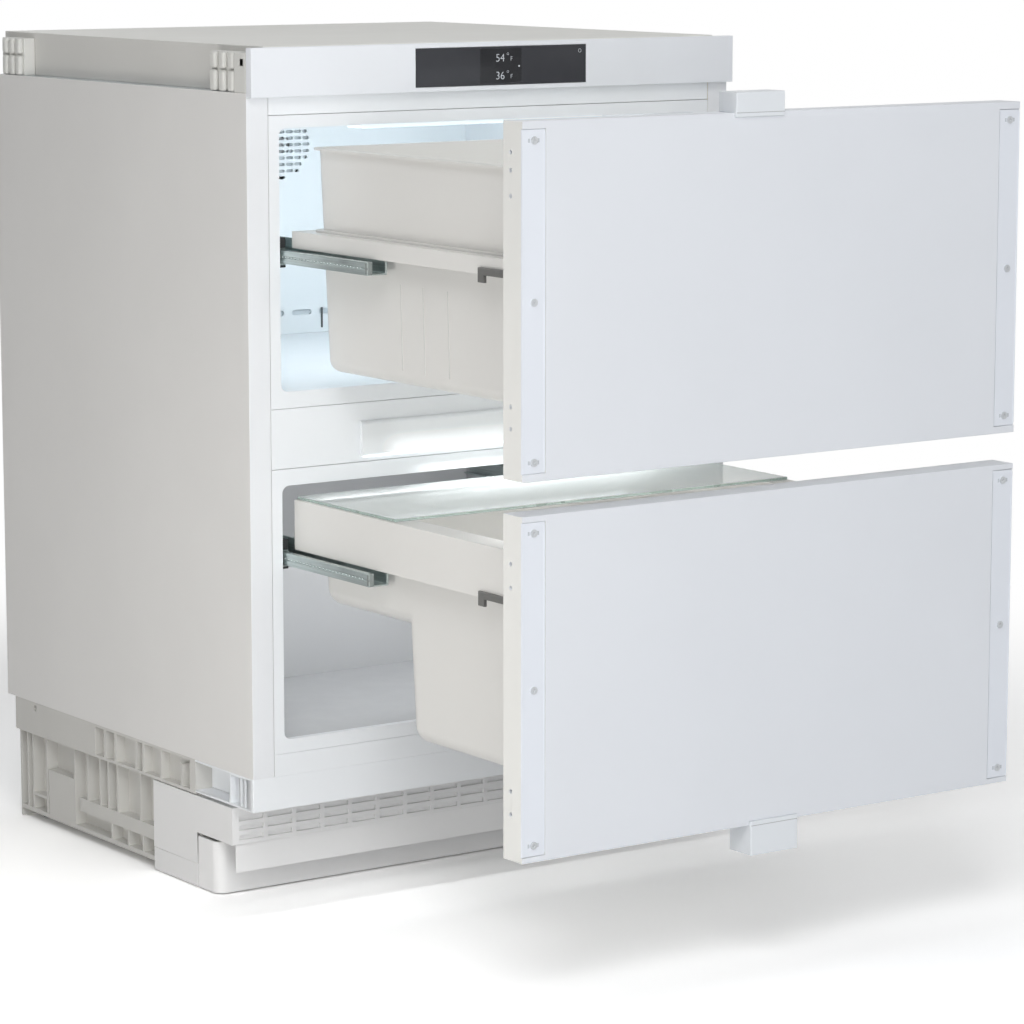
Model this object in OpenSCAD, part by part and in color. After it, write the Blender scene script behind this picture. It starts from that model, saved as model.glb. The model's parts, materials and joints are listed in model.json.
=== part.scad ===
// Undercounter drawer refrigerator with two full-extension drawers, shown pulled out.
// X runs across the width, Y runs from the front to the rear and Z runs up from the floor.
// The origin is on the floor, in the middle of the cabinet's width and depth.

/* [Cabinet] */
// Width over the side panels
cabinet_w = 597; // [570:1:640]
// Height from the floor to the top cover
cabinet_h = 870; // [860:1:900]
// Depth from the control panel's face to the rear edge of the top cover
cabinet_d = 550; // [540:1:600]
// Thickness of the steel sheets
sheet_t = 1; // [0.6:0.1:1.6]
// Gap between the cabinet's face and the back of a closed drawer front
front_gap = 10.4; // [9:0.2:14]
// Distance from the rear sheet to the rear edge of the top cover
rear_gap = 12; // [6:1:20]
// Height of the underside of the side panels
base_h = 136.4; // [134:0.2:142]
// Width of the front flange that is folded on each side panel
flange_w = 25; // [20:0.5:28]
// Width of the rear flange that is folded on each side panel
rear_flange_w = 14; // [10:1:20]
// Visible seam between two pieces of the cabinet's face
seam = 0.5; // [0.3:0.1:0.8]

/* [Top and control panel] */
// Height of the top cover above the side panels
cover_h = 45.5; // [42:0.5:50]
// Inset of the top cover from the side panels
cover_inset = 19.5; // [16:0.5:26]
// Height of the control panel
header_h = 48.5; // [46:0.5:52]
// Depth of the control panel
header_d = 10; // [8:0.2:10.2]
// Wall of the control panel
header_wall = 2.5; // [2:0.1:3]
// Width of the display glass
display_w = 211; // [160:1:260]
// Height of the display glass
display_h = 39; // [34:0.5:42]
// Thickness of the display glass
display_t = 1.5; // [1:0.1:1.8]
// Height of the four corner blocks on the roof
block_h = 39.5; // [36:0.5:41]
// Length of a front corner block
front_block_l = 73; // [60:1:90]
// Length of a rear corner block
rear_block_l = 50; // [40:1:60]
// Radius of the fixing hole in a corner block
block_hole_r = 2; // [1.5:0.1:2.5]

/* [Cavities] */
// Thickness of the insulated side walls
side_wall = 37.5; // [34:0.5:45]
// Thickness of the insulated rear wall, with the air duct
rear_wall = 89; // [80:1:100]
// Depth of the air duct behind the upper cavity
duct_d = 40; // [36:1:44]
// Thickness of the liners
liner_t = 2; // [1.5:0.1:2.5]
// Corner radius of the cavities
cavity_r = 8; // [5:0.5:10]
// Thickness of the insulated floor
floor_wall = 36.6; // [35:0.2:42]
// Thickness of the insulated floor between the cavities
divider_wall = 94.5; // [88:0.5:104]
// Thickness of the insulated roof
roof_wall = 35.2; // [32:0.2:40]
// How much higher the upper cavity is than the lower one
cavity_difference = 2.8; // [-20:0.2:20]
// Height of the step over the compressor, above the lower floor
step_h = 122; // [110:1:126]
// Depth of the step over the compressor
step_d = 169; // [150:1:180]
// Insulation under and in front of the step
step_foam = 46; // [35:1:55]

/* [Cabinet face] */
// Thickness of the plastic frames round the cavities
frame_t = 8; // [6:0.5:10]
// Height of the upper frame above the upper cavity
top_lip = 12.5; // [11:0.5:16]
// Height of the frame lips next to the divider cover
divider_lip = 16.6; // [14:0.2:18]
// Height of the lower frame below the lower cavity
bottom_lip = 13.8; // [12:0.2:15]
// Width of the raised light housing on the divider cover
light_w = 338; // [280:1:380]
// Height of the raised light housing
light_h = 36; // [28:1:40]
// How far the light housing stands out of the divider cover
light_t = 6; // [4:0.5:7]
// Height of the cover under the cabinet
bottom_cover_h = 34.4; // [30:0.2:36]
// How far the bottom cover wraps round the sides
bottom_wrap = 115; // [80:1:125]

/* [Drawer fronts] */
// Inset of the drawer fronts from the side panels
front_inset = 3.75; // [2.5:0.25:8]
// Thickness of the drawer fronts
front_t = 30; // [24:1:34]
// Gap between the control panel and the upper drawer front
front_top_gap = 1.5; // [1:0.1:4]
// How far the upper drawer front reaches below the upper frame
upper_front_under = 14.4; // [10:0.2:20]
// How far the lower drawer front reaches above the lower frame
lower_front_over = 15.9; // [10:0.1:22]
// Height of the lower drawer front's underside above the side panels' underside
lower_front_gap = 8.6; // [5:0.2:12]
// Width of the fixing strips along the side edges
strip_w = 26; // [22:0.5:30]
// Distance from the ends of the upper fixing strips to the edges of their front
upper_strip_end = 7; // [4:0.5:16]
// Distance from the ends of the lower fixing strips to the edges of their front
lower_strip_end = 5.5; // [4:0.5:16]
// Depth of the rabbet under a fixing strip
rabbet_d = 2; // [1.6:0.1:3]
// Thickness of a fixing strip
strip_t = 1.5; // [1:0.1:1.5]
// Distance from a strip's end to its outer screw
screw_end = 10.3; // [8:0.1:20]
// Radius of a strip screw's shank
screw_r = 1.8; // [1.5:0.1:2.2]
// Radius of a strip screw's head
screw_head_r = 3.6; // [3.2:0.1:4.5]
// Width of the gasket round a drawer front
gasket_w = 11.5; // [9:0.5:12]
// Width of the fitting blocks over and under the fronts
block_w = 57; // [45:1:70]
// Height of the fitting block over the upper front
fitting_h = 19; // [15:1:28]
// Height of the fitting block under the lower front
lower_fitting_h = 29.5; // [20:0.5:34]

/* [Bins] */
// How much each bin wall leans in
bin_lean = 6; // [4:0.5:8]
// Wall thickness of the bins
bin_wall = 2.5; // [2:0.1:3]
// Corner radius of the upper bin
bin_r = 14; // [8:1:20]
// Distance from the upper cavity's roof to the upper bin's rim
upper_bin_drop = 19.3; // [12:0.1:26]
// Height of the upper bin's underside above the cavity's floor
upper_bin_lift = 20; // [12:1:30]
// Height of the shallow rear part of the lower bin above the step
shallow_lift = 17; // [10:1:24]
// Height of the deep front part of the lower bin above the cavity's floor
deep_lift = 24; // [12:1:40]
// Gap between the step and the deep part of the closed lower bin
step_gap = 10; // [6:1:20]
// Corner radius of the lower bin
lower_bin_r = 18; // [10:1:24]
// Distance from the drawer front's back to a bin
bin_front_gap = 8; // [5:1:12]
// Thickness of the glass cover
glass_t = 3.4; // [3:0.1:4]
// Depth of the glass cover
glass_d = 178; // [165:1:190]

/* [Rails and carriers] */
// Gap between a cavity's side wall and a drawer carrier
carrier_gap = 15; // [14:0.5:16]
// Width of a carrier's beam on each side of the bin
beam_w = 18; // [18:0.5:24]
// Length of a carrier that stays in the cabinet when its drawer is pulled out
carrier_rest = 12; // [8:1:20]
// Gap between a closed drawer and the rear wall
drawer_gap = 12; // [10:1:24]
// Wall thickness of the carriers
carrier_wall = 1.5; // [1.2:0.1:1.5]
// Distance from the upper cavity's roof to the underside of the upper carrier
upper_rail_drop = 119.3; // [110:0.1:126]
// Height of the upper carrier
upper_carrier_h = 17; // [16:0.5:22]
// Distance from the lower cavity's roof to the top of the lower carrier
gallery_drop = 15; // [12:0.5:20]
// Height of the lower carrier
lower_carrier_h = 51; // [46:0.5:54]
// Width of the lower carrier's top on each side
gallery_w = 28; // [24:0.5:32]
// Gap between the rear wall and the rails that are fixed in the cavities
fixed_rail_gap = 8.6; // [4:0.2:20]
// How much shorter the middle rails end than the fixed rails, when a drawer is closed
mid_rail_short = 3; // [1:0.5:20]
// Height of the middle rails
mid_rail_h = 12.9; // [11:0.1:14]
// Thickness of the middle rails
mid_rail_t = 6; // [5:0.1:6.5]
// Wall thickness of the rails
rail_wall = 1.5; // [1:0.1:1.5]
// Running clearance in the rails
rail_gap = 0.5; // [0.3:0.1:0.6]
// Length of the dark catch beside each carrier
catch_l = 106; // [90:1:130]

/* [Base and feet] */
// Inset of the grille's front from the control panel
grille_y = 56; // [50:1:62]
// Inset of the plinth's front from the control panel
plinth_y = 86; // [80:1:92]
// Gap under the plinth
plinth_gap = 1.6; // [1:0.2:4]
// Height of the upper band of the base moulding
band_h = 36.4; // [34.4:0.2:40]
// Height of the ventilation grille
grille_h = 39; // [34:1:44]
// Gap between the band of the base moulding and the grille
grille_top_gap = 2; // [1:0.2:5]
// Gap between the grille and the plinth
plinth_top_gap = 3.4; // [2:0.2:8]
// Distance from the control panel's face to the base moulding
base_front_inset = 126; // [118:1:132]
// Distance from the base moulding to the rear sheet
base_rear_inset = 17; // [10:1:30]
// Wall thickness of the base moulding
base_wall = 3; // [2.5:0.1:4]
// Inset of the base moulding's lower skirt from its upper band
skirt_inset = 4.5; // [3:0.5:6]
// Depth of the ribbed recesses in the sides of the base
rib_depth = 18; // [8:1:22]
// Depth of the pockets in the sides of the base's band
pocket_depth = 10; // [4:1:14]
// Radius of a foot's pad
foot_r = 18; // [14:1:22]
// Radius of a foot's threaded stem
stem_r = 5; // [4:0.5:6]
// Running clearance of the stems and fan shafts
bore_gap = 0.1; // [0.05:0.01:0.1]

/* [Cooling parts] */
// Radius of the compressor
compressor_r = 78; // [70:1:84]
// Height of the compressor
compressor_h = 158; // [140:1:162]
// Radius of the cold air fan
cold_fan_r = 33; // [28:1:35]
// Distance from the upper cavity's roof to the cold air fan's centre
cold_fan_drop = 49; // [42:1:56]
// Radius of the condenser fan
warm_fan_r = 34; // [30:1:36]
// Outer radius of the condenser tube
tube_r = 3.2; // [2.5:0.1:4]

/* [Hidden] */
$fn = 48;

white = [0.90, 0.91, 0.93];
grey = [0.74, 0.74, 0.73];
steel = [0.55, 0.57, 0.58];
dark = [0.22, 0.23, 0.24];
foam_yellow = [0.90, 0.84, 0.62];
eps = 0.01;

// Planes of the cabinet
half_w = cabinet_w / 2;
face_y = -cabinet_d / 2;
rear_y = cabinet_d / 2;
body_y0 = face_y + front_gap;
body_y1 = rear_y - rear_gap;
body_top = cabinet_h - cover_h;
header_top = cabinet_h - sheet_t;
header_z = header_top - header_h;
face_half = half_w - flange_w - seam;
shell_half = half_w - sheet_t;
back_half = half_w - rear_flange_w - seam;
cover_half = half_w - cover_inset;
band_half = half_w - 0.5;
cover_gap = 0.2;
front_block_y = face_y + header_d + 2;
rear_block_y = body_y1 - 7;
block_hole_x = (band_half + cover_half + cover_gap) / 2 - 2.5;

// Cavities
cavity_half = half_w - side_wall;
cavity_front = body_y0 + frame_t;
cavity_rear = body_y1 - rear_wall;
duct_rear = cavity_rear + duct_d;
lower_floor = base_h + floor_wall;
upper_top = body_top - roof_wall;
lower_cavity_h = (upper_top - lower_floor - divider_wall - cavity_difference) / 2;
lower_top = lower_floor + lower_cavity_h;
upper_floor = lower_top + divider_wall;
step_y = cavity_rear - step_d;
step_z = lower_floor + step_h;
bulkhead_y = step_y + liner_t + step_foam;
bulkhead_z = step_z - liner_t - step_foam;

// Cabinet face
upper_frame_z0 = upper_floor - divider_lip;
upper_frame_z1 = upper_top + top_lip;
lower_frame_z1 = lower_top + divider_lip;
lower_seam_z = lower_floor - bottom_lip;
divider_z0 = lower_frame_z1 + seam;
divider_z1 = upper_frame_z0 - seam;

// Drawn-out fronts; a drawer closes when its front's back reaches the control panel's face
travel = cavity_rear - drawer_gap - carrier_rest - face_y;
front_back_y = face_y - travel;
front_face_y = front_back_y - front_t;
front_half = half_w - front_inset;
strip_x = front_half - strip_w / 2;
upper_front_top = header_z - front_top_gap;
upper_front_z = upper_frame_z0 - upper_front_under;
upper_front_h = upper_front_top - upper_front_z;
lower_front_z = base_h + lower_front_gap;
lower_front_h = lower_frame_z1 + lower_front_over - lower_front_z;
screw_l = 14;
screw_head_t = 1.4;
screw_slot_w = 0.8;
screw_slot_depth = 0.7;
side_hole_r = 2.2;
side_hole_depth = 10;
side_hole_inset = 12;
side_hole_y = front_back_y - side_hole_inset;
// Side holes, as distances from the lower and from the upper edge of a front
upper_low_holes = [47, 67];
upper_high_holes = [28, 44, 67];
lower_low_holes = [43, 65];
lower_high_holes = [45, 67];
upper_bracket_x = -28;
lower_bracket_x = -3;
bracket_setback = 6;
lip_t = 3;
lip_drop = 4;
lip_seat = 0.5;
lip_fit = 0.3;
gasket_foot_d = 4;
gasket_step = 1.5;
gasket_gap = 0.6;

// Rails and carriers, for the left side
carrier_half = cavity_half - carrier_gap;
carrier_rear = face_y + carrier_rest;
upper_rail_z = upper_top - upper_rail_drop;
lower_carrier_top = lower_top - gallery_drop;
lower_rail_z = lower_carrier_top - lower_carrier_h;
rail_depth = 9;
rail_start = 4;
rail_plate_low = 19;
rail_plate_high = 11;
fixed_y0 = body_y0 + rail_start;
fixed_y1 = cavity_rear - fixed_rail_gap;
mid_setback = 57;
mid_y0 = body_y0 + mid_setback - travel / 2;
mid_y1 = fixed_y1 - mid_rail_short - travel / 2;
mid_groove = 1;
fixed_x = cavity_half - rail_depth;
mid_x1 = cavity_half - rail_wall - 2 * rail_gap;
mid_x0 = mid_x1 - mid_rail_t;
mid_top = -rail_wall;
mid_bottom = mid_top - mid_rail_h;
channel_gap = 5;
tongue_t = 2;
tongue_x = carrier_half - carrier_wall - rail_wall - channel_gap - tongue_t;
tongue_top = 9;
inner_rail_h = 14.5;
inner_rail_lift = 1;
inner_rail_x0 = tongue_x - channel_gap;
inner_rail_x1 = tongue_x + tongue_t + channel_gap;
rail_seat = inner_rail_lift + inner_rail_h;
damper_l = 18;
catch_w = 4;
catch_h = 7;
catch_foot_l = 10;

// Bins
bin_half = carrier_half - beam_w;
bin_rear_gap = 3;
bin_y0 = front_back_y + bin_front_gap;
bin_y1 = face_y - bin_rear_gap;
upper_bin_top = upper_top - upper_bin_drop;
upper_bin_bottom = upper_floor + upper_bin_lift;
shallow_bottom = step_z + shallow_lift;
deep_bottom = lower_floor + deep_lift;
shallow_l = step_d + step_gap - drawer_gap - carrier_rest - bin_rear_gap;
rim_w = 6;
rim_t = 2;
rim_gap = 0.5;
lower_bin_top = lower_carrier_top - carrier_wall - rim_gap;
groove_w = 3;
groove_d = 1;
groove_low = 24;
groove_high = 30;
groove_ys = [189, 217, 245];
beam_gap = 1;
beam_end_t = 3;
glass_gap = 0.1;
glass_inset = 3;
glass_rear_inset = 2;

// Base
band_z = base_h - band_h;
grille_top = band_z - grille_top_gap;
grille_z = grille_top - grille_h;
plinth_h = grille_z - plinth_top_gap - plinth_gap;
base_y0 = face_y + base_front_inset;
base_y1 = body_y1 - base_rear_inset;
skirt_half = band_half - 0.5 - skirt_inset;
floor_z = 8;
floor_t = 3;
floor_top = floor_z + floor_t;
rib_t = 3;
rib_z = 9;
rib_base_t = 5;
recess_half = band_half - rib_depth;
recess_l = 314;
// Ribs in the side recesses of the base, as distances from its rear
full_ribs = [19, 31, 63, 126];
high_ribs = [156, 184, 202, 222, 271];
low_ribs = [208, 244, 276];
rib_shelf = [137, recess_l];
rib_shelf_z = [31, 46];
rib_ledge = [31, 63];
rib_ledge_z = 29;
rib_panel = [66, 126];
rib_panel_top = 64;
// Pockets in the sides of the base's band, each as its distance from the rear and its length
band_pockets = [[182, 19], [205, 19], [228, 40], [272, 12], [288, 33], [325, 39], [368, 15]];
pocket_edge = 3;
side_hole_front = 28;
side_hole_rears = [46, 212];
base_hole_r = 3.5;
base_hole_drop = 3;
base_slot_w = 30;
base_slot_h = 6;
base_slot_pitch = 40;
base_slot_margin = 50;
window_margin = 43;
window_frame = 4;
foot_inset = 38.5;
foot_x = half_w - foot_inset;
foot_front_inset = 24;
foot_rear_inset = 26;
foot_front_y = base_y0 + foot_front_inset;
foot_rear_y = base_y1 - foot_rear_inset;
foot_travel = 50;
foot_pad_t = 4;
foot_neck_t = 3;
foot_neck_inset = 6;
foot_stem_short = 10;
boss_r = 10;
boss_h = 34;
tray_x0 = 20;
tray_x1 = foot_x - 30;
tray_inset = 30;
tray_h = 22;
tray_wall = 3;
grille_half = half_w - 2;
grille_margin = 6;
grille_return_l = 91;
grille_return_drop = 33;
plinth_half = half_w - 2.5;
plinth_corner = 12;
plinth_wall = 3;
plinth_tab_w = 20;
plinth_tab_inset = 90;
plinth_tab_z = [16, 40];
// Ribs inside the ends of the bottom cover, as distances from the control panel's face
bottom_cover_ribs = [10, 16.5, 24.5, 44.5];
bottom_cover_post = 12;
bottom_pocket_depth = 20;
grille_wall = 3;
grille_rows = 3;
grille_columns = 17;
grille_row_margin = 9.4;
grille_row_drop = 1.9;
grille_slot_h = 4.5;
grille_bar = 5;

// Cooling parts
sensor_x = 107;
sensor_lift = 84;
cold_fan_gap = 8;
cold_fan_x = 11;
warm_fan_gap = 22;
cold_fan_z = upper_top - cold_fan_drop;
cold_fan_y = cavity_rear + cold_fan_gap;
warm_fan_x = 120;
warm_fan_y = bulkhead_y - warm_fan_gap;
warm_fan_lift = 6;
fan_frame_w = 4;
warm_fan_z = floor_top + warm_fan_lift + warm_fan_r + fan_frame_w;
fan_l = 12;
hub_r = 10;
motor_l = 12;
shaft_r = 2;
blades = 5;
compressor_x = -110;
terminal_z = [54, 104];
compressor_lift = 10;
compressor_y = base_y1 - base_wall - compressor_r - 6;
compressor_z = floor_top + compressor_lift;
condenser_lift = 32;
condenser_pitch = 23;
condenser_margin = 28;
condenser_y0 = base_y0 + condenser_margin;
condenser_gap = 20;
condenser_strip_inset = 65;
condenser_half = foot_x - boss_r - condenser_gap - condenser_pitch / 2 - tube_r;
condenser_runs = 1 + floor((warm_fan_y - condenser_gap - condenser_y0) / condenser_pitch);
inlet_w = 30;
inlet_h = 24;
inlet_inset = 74;
inlet_drop = 57;
inlet_x = back_half - inlet_inset;
inlet_z = bulkhead_z - inlet_drop;

// Box between two limits on each axis
module slab(x, y, z) {
    translate([x[0], y[0], z[0]])
        cube([x[1] - x[0], y[1] - y[0], z[1] - z[0]]);
}

// The left shape, or its mirror image on the right
module side(s) {
    mirror([s > 0 ? 1 : 0, 0, 0])
        children();
}

module both_sides() {
    for (s = [-1, 1])
        side(s)
            children();
}

// Rectangle with round corners, centred
module round_rect(w, h, r) {
    square([w - 2 * r, h], center = true);
    square([w, h - 2 * r], center = true);
    for (x = [-1, 1], y = [-1, 1])
        translate([x * (w / 2 - r), y * (h / 2 - r)])
            circle(r);
}

// Round-cornered box that runs from front to rear
module passage(half, y, z, r) {
    translate([0, y[1], (z[0] + z[1]) / 2])
        rotate([90, 0, 0])
            linear_extrude(y[1] - y[0])
                round_rect(2 * half, z[1] - z[0], r);
}

// Slot with round ends through a wall that faces the front
module wall_slot(x, z, w, h, y) {
    translate([x, y[1], z])
        rotate([90, 0, 0])
            linear_extrude(y[1] - y[0]) {
                square([w - h, h], center = true);
                for (s = [-1, 1])
                    translate([s * (w - h) / 2, 0])
                        circle(h / 2, $fn = 24);
            }
}

// ---- Cabinet shell ----
module side_panel(s) {
    color(grey)
        side(s)
            union() {
                slab([-half_w, -shell_half], [body_y0, body_y1], [base_h, body_top]);
                slab([-half_w, -half_w + flange_w], [body_y0, body_y0 + sheet_t], [base_h, body_top]);
                slab([-half_w, -half_w + rear_flange_w], [body_y1 - sheet_t, body_y1], [base_h, body_top]);
            }
}

module side_panel_left() {
    side_panel(-1);
}

module side_panel_right() {
    side_panel(1);
}

module rear_roof_panel() {
    color(steel)
        union() {
            slab([-back_half, back_half], [body_y1 - sheet_t, body_y1], [bulkhead_z, body_top]);
            slab([-shell_half, shell_half], [body_y0 + frame_t, body_y1 - sheet_t],
                 [body_top - sheet_t, body_top]);
            slab([-back_half, back_half], [body_y1 - sheet_t - eps, body_y1],
                 [body_top - sheet_t, body_top]);
        }
}

module underside_panel() {
    color(steel)
        union() {
            slab([-shell_half, shell_half], [cavity_front, bulkhead_y + sheet_t], [base_h, base_h + sheet_t]);
            slab([-shell_half, shell_half], [bulkhead_y, bulkhead_y + sheet_t],
                 [base_h, bulkhead_z + sheet_t]);
            slab([-shell_half, shell_half], [bulkhead_y, body_y1 - sheet_t],
                 [bulkhead_z, bulkhead_z + sheet_t]);
        }
}

module upper_liner_space(grow) {
    passage(cavity_half + grow, [cavity_front - (grow > 0 ? 0 : 1), duct_rear + grow],
            [upper_floor - grow, upper_top + grow], cavity_r + grow);
}

module lower_liner_space(grow) {
    start = cavity_front - (grow > 0 ? 0 : 1);
    passage(cavity_half + grow, [start, step_y + grow], [lower_floor - grow, lower_top + grow],
            cavity_r + grow);
    passage(cavity_half + grow, [start, cavity_rear + grow], [step_z - grow, lower_top + grow],
            cavity_r + grow);
}

module insulation_foam() {
    color(foam_yellow)
        difference() {
            slab([-shell_half, shell_half], [body_y0 + sheet_t, body_y1 - sheet_t],
                 [base_h + sheet_t, body_top - sheet_t]);
            slab([-face_half - seam, face_half + seam], [body_y0, cavity_front], [0, cabinet_h]);
            slab([-half_w, half_w], [bulkhead_y, rear_y], [0, bulkhead_z + sheet_t]);
            upper_liner_space(liner_t);
            lower_liner_space(liner_t);
        }
}

module upper_liner() {
    color(white)
        difference() {
            upper_liner_space(liner_t);
            upper_liner_space(0);
        }
}

module lower_liner() {
    color(grey)
        difference() {
            lower_liner_space(liner_t);
            lower_liner_space(0);
        }
}

// ---- Cabinet face ----
module upper_frame() {
    color(white)
        difference() {
            slab([-face_half, face_half], [body_y0, cavity_front], [upper_frame_z0, upper_frame_z1]);
            passage(cavity_half, [body_y0 - 1, cavity_front + 1], [upper_floor, upper_top], cavity_r);
        }
}

module lower_frame() {
    color(white)
        difference() {
            slab([-face_half, face_half], [body_y0, cavity_front], [base_h, lower_frame_z1]);
            passage(cavity_half, [body_y0 - 1, cavity_front + 1], [lower_floor, lower_top], cavity_r);
            slab([-half_w, half_w], [body_y0 - 1, body_y0 + 1], [lower_seam_z - seam, lower_seam_z]);
        }
}

module top_rail() {
    color(white)
        slab([-face_half, face_half], [body_y0, cavity_front], [upper_frame_z1 + seam, body_top]);
}

module divider_cover() {
    color(white)
        slab([-face_half, face_half], [body_y0, cavity_front], [divider_z0, divider_z1]);
}

module divider_light() {
    drop = 6.5;
    bevel = light_t / 2;
    color([0.96, 0.97, 0.98])
        translate([0, 0, (divider_z0 + divider_z1) / 2 - drop])
            rotate([90, 0, 90])
                translate([0, 0, -light_w / 2])
                    linear_extrude(light_w)
                        polygon([
                            [body_y0, -light_h / 2],
                            [body_y0, light_h / 2],
                            [body_y0 - light_t + bevel, light_h / 2],
                            [body_y0 - light_t, light_h / 2 - bevel],
                            [body_y0 - light_t, -light_h / 2 + bevel],
                            [body_y0 - light_t + bevel, -light_h / 2]
                        ]);
}

module bottom_cover() {
    wall = 2.5;
    z0 = base_h - bottom_cover_h;
    inner_x = -half_w + bottom_pocket_depth + wall;
    wrap_y = [body_y0, body_y0 + bottom_wrap];
    color(white)
        union() {
            slab([-half_w, half_w], [body_y0, body_y0 + wall], [z0, base_h]);
            slab([-half_w, half_w], [body_y0, base_y0], [base_h - wall, base_h]);
            both_sides() {
                slab([inner_x - wall, inner_x], wrap_y, [z0, base_h]);
                slab([-half_w, inner_x], wrap_y, [z0, z0 + wall]);
                slab([-half_w, -half_w + wall], [body_y0, body_y0 + bottom_cover_post], [z0, base_h]);
                for (d = bottom_cover_ribs)
                    slab([-half_w, inner_x], [body_y0 + d, body_y0 + d + wall], [z0, base_h]);
            }
        }
}

// ---- Control panel and top ----
module display_space(fit, y0, y1) {
    slab([-display_w / 2 - fit, display_w / 2 + fit], [y0, y1],
         [header_z + (header_h - display_h) / 2 - fit, header_z + (header_h + display_h) / 2 + fit]);
}

module header_housing() {
    window = 6;
    fit = 0.2;
    color(white)
        difference() {
            slab([-half_w, half_w], [face_y, face_y + header_d], [header_z, header_top]);
            slab([-half_w + header_wall, half_w - header_wall],
                 [face_y + header_wall, face_y + header_d + 1],
                 [header_z + header_wall, header_top - header_wall]);
            display_space(fit, face_y - 1, face_y + display_t);
            display_space(-window, face_y - 1, face_y + header_wall + 1);
        }
}

module display_glass() {
    color(dark)
        display_space(0, face_y, face_y + display_t);
}

module control_board() {
    board_t = 1.6;
    board_y = face_y + header_d - board_t;
    margin = 4;
    chip = 14;
    chips = 4;
    pitch = (display_w - 2 * margin) / chips;
    middle = header_z + header_h / 2;
    color([0.10, 0.35, 0.22])
        union() {
            display_space(-margin, board_y, face_y + header_d);
            for (i = [0:chips - 1])
                let (x = (i - (chips - 1) / 2) * pitch)
                    slab([x - chip / 2, x + chip / 2], [face_y + header_wall + 1, board_y + eps],
                         [middle - chip / 2, middle + chip / 2]);
        }
}

module top_cover() {
    color(white)
        difference() {
            slab([-cover_half, cover_half], [face_y + header_d, rear_y], [body_top, cabinet_h]);
            slab([-cover_half + sheet_t, cover_half - sheet_t],
                 [face_y + header_d + sheet_t, rear_y - sheet_t],
                 [body_top - 1, cabinet_h - sheet_t]);
        }
}

module corner_block(y0, l) {
    rib = 4;
    pitch = 8.2;
    notch = 4;
    x0 = -band_half;
    x1 = -cover_half - cover_gap;
    difference() {
        slab([x0, x1], [y0, y0 + l], [body_top, body_top + block_h]);
        for (y = [pitch:pitch:l - rib - 1])
            slab([x0 - 1, x0 + notch], [y0 + y, y0 + y + rib], [body_top - 1, body_top + block_h + 1]);
        translate([-block_hole_x, y0 + l / 2, body_top - 1])
            cylinder(r = block_hole_r, h = block_h + 2, $fn = 24);
    }
}

module corner_blocks() {
    color(white)
        both_sides() {
            corner_block(front_block_y, front_block_l);
            corner_block(rear_block_y - rear_block_l, rear_block_l);
        }
}

// ---- Air duct, evaporator, fans and lights ----
module duct_cover() {
    cover_t = 2.5;
    fit = 0.2;
    slot_w = 9;
    slot_h = 3.6;
    pitch_x = 10.8;
    pitch_z = 7.3;
    grille_r = cold_fan_r + 4;
    rows = floor(grille_r / pitch_z);
    columns = floor(grille_r / pitch_x);
    return_w = 26;
    return_h = 6;
    return_pitch = 36;
    return_z = upper_floor + 24;
    returns = floor((cavity_half - 2 * return_w) / return_pitch);
    sensor_w = 5;
    sensor_h = 24;
    y = [cavity_rear - 1, cavity_rear + cover_t + 1];
    color(white)
        difference() {
            passage(cavity_half - fit, [cavity_rear, cavity_rear + cover_t],
                    [upper_floor + fit, upper_top - fit], cavity_r);
            for (i = [-rows:rows], j = [-columns:columns])
                let (z = i * pitch_z, reach = sqrt(grille_r * grille_r - z * z),
                     x0 = max(j * pitch_x - slot_w / 2, -reach), x1 = min(j * pitch_x + slot_w / 2, reach))
                    if (x1 - x0 > slot_h + 0.5)
                        wall_slot(cold_fan_x + (x0 + x1) / 2, cold_fan_z + z, x1 - x0, slot_h, y);
            for (i = [-returns:returns])
                wall_slot(i * return_pitch, return_z, return_w, return_h, y);
            slab([sensor_x - sensor_w / 2, sensor_x + sensor_w / 2], y,
                 [upper_floor + sensor_lift, upper_floor + sensor_lift + sensor_h]);
        }
}

module evaporator() {
    fins = 17;
    fin_pitch = 18;
    fin_t = 1;
    tubes = 4;
    tube_r = 4;
    tube_end = 12;
    gap = 5;
    y0 = cavity_rear + gap;
    depth = duct_d - 2 * gap;
    z0 = upper_floor + 40;
    h = cold_fan_z - cold_fan_r - fan_frame_w - 2 * gap - z0;
    w = (fins - 1) * fin_pitch;
    color([0.78, 0.79, 0.80])
        union() {
            for (i = [0:fins - 1])
                translate([-w / 2 + i * fin_pitch, y0, z0])
                    cube([fin_t, depth, h]);
            for (i = [0:tubes - 1])
                translate([-w / 2 - tube_end, y0 + depth / 2, z0 + h * (i + 0.5) / tubes])
                    rotate([0, 90, 0])
                        cylinder(r = tube_r, h = w + 2 * tube_end, $fn = 24);
        }
}

// Fan wheel with its hub to the front and its shaft to the rear
module fan_rotor(r) {
    tip_gap = 1;
    blade_t = 1.5;
    blade_w = r * 0.52;
    blade_tilt = 38;
    union() {
        rotate([-90, 0, 0])
            cylinder(r = hub_r, h = fan_l);
        rotate([-90, 0, 0])
            cylinder(r = shaft_r, h = fan_l + motor_l);
        intersection() {
            for (i = [0:blades - 1])
                rotate([0, i * 360 / blades, 0])
                    translate([hub_r - 2, fan_l / 2, 0])
                        rotate([blade_tilt, 0, 0])
                            translate([0, -blade_t / 2, -blade_w / 2])
                                cube([r, blade_t, blade_w]);
            rotate([-90, 0, 0])
                cylinder(r = r - tip_gap, h = fan_l);
        }
    }
}

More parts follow.
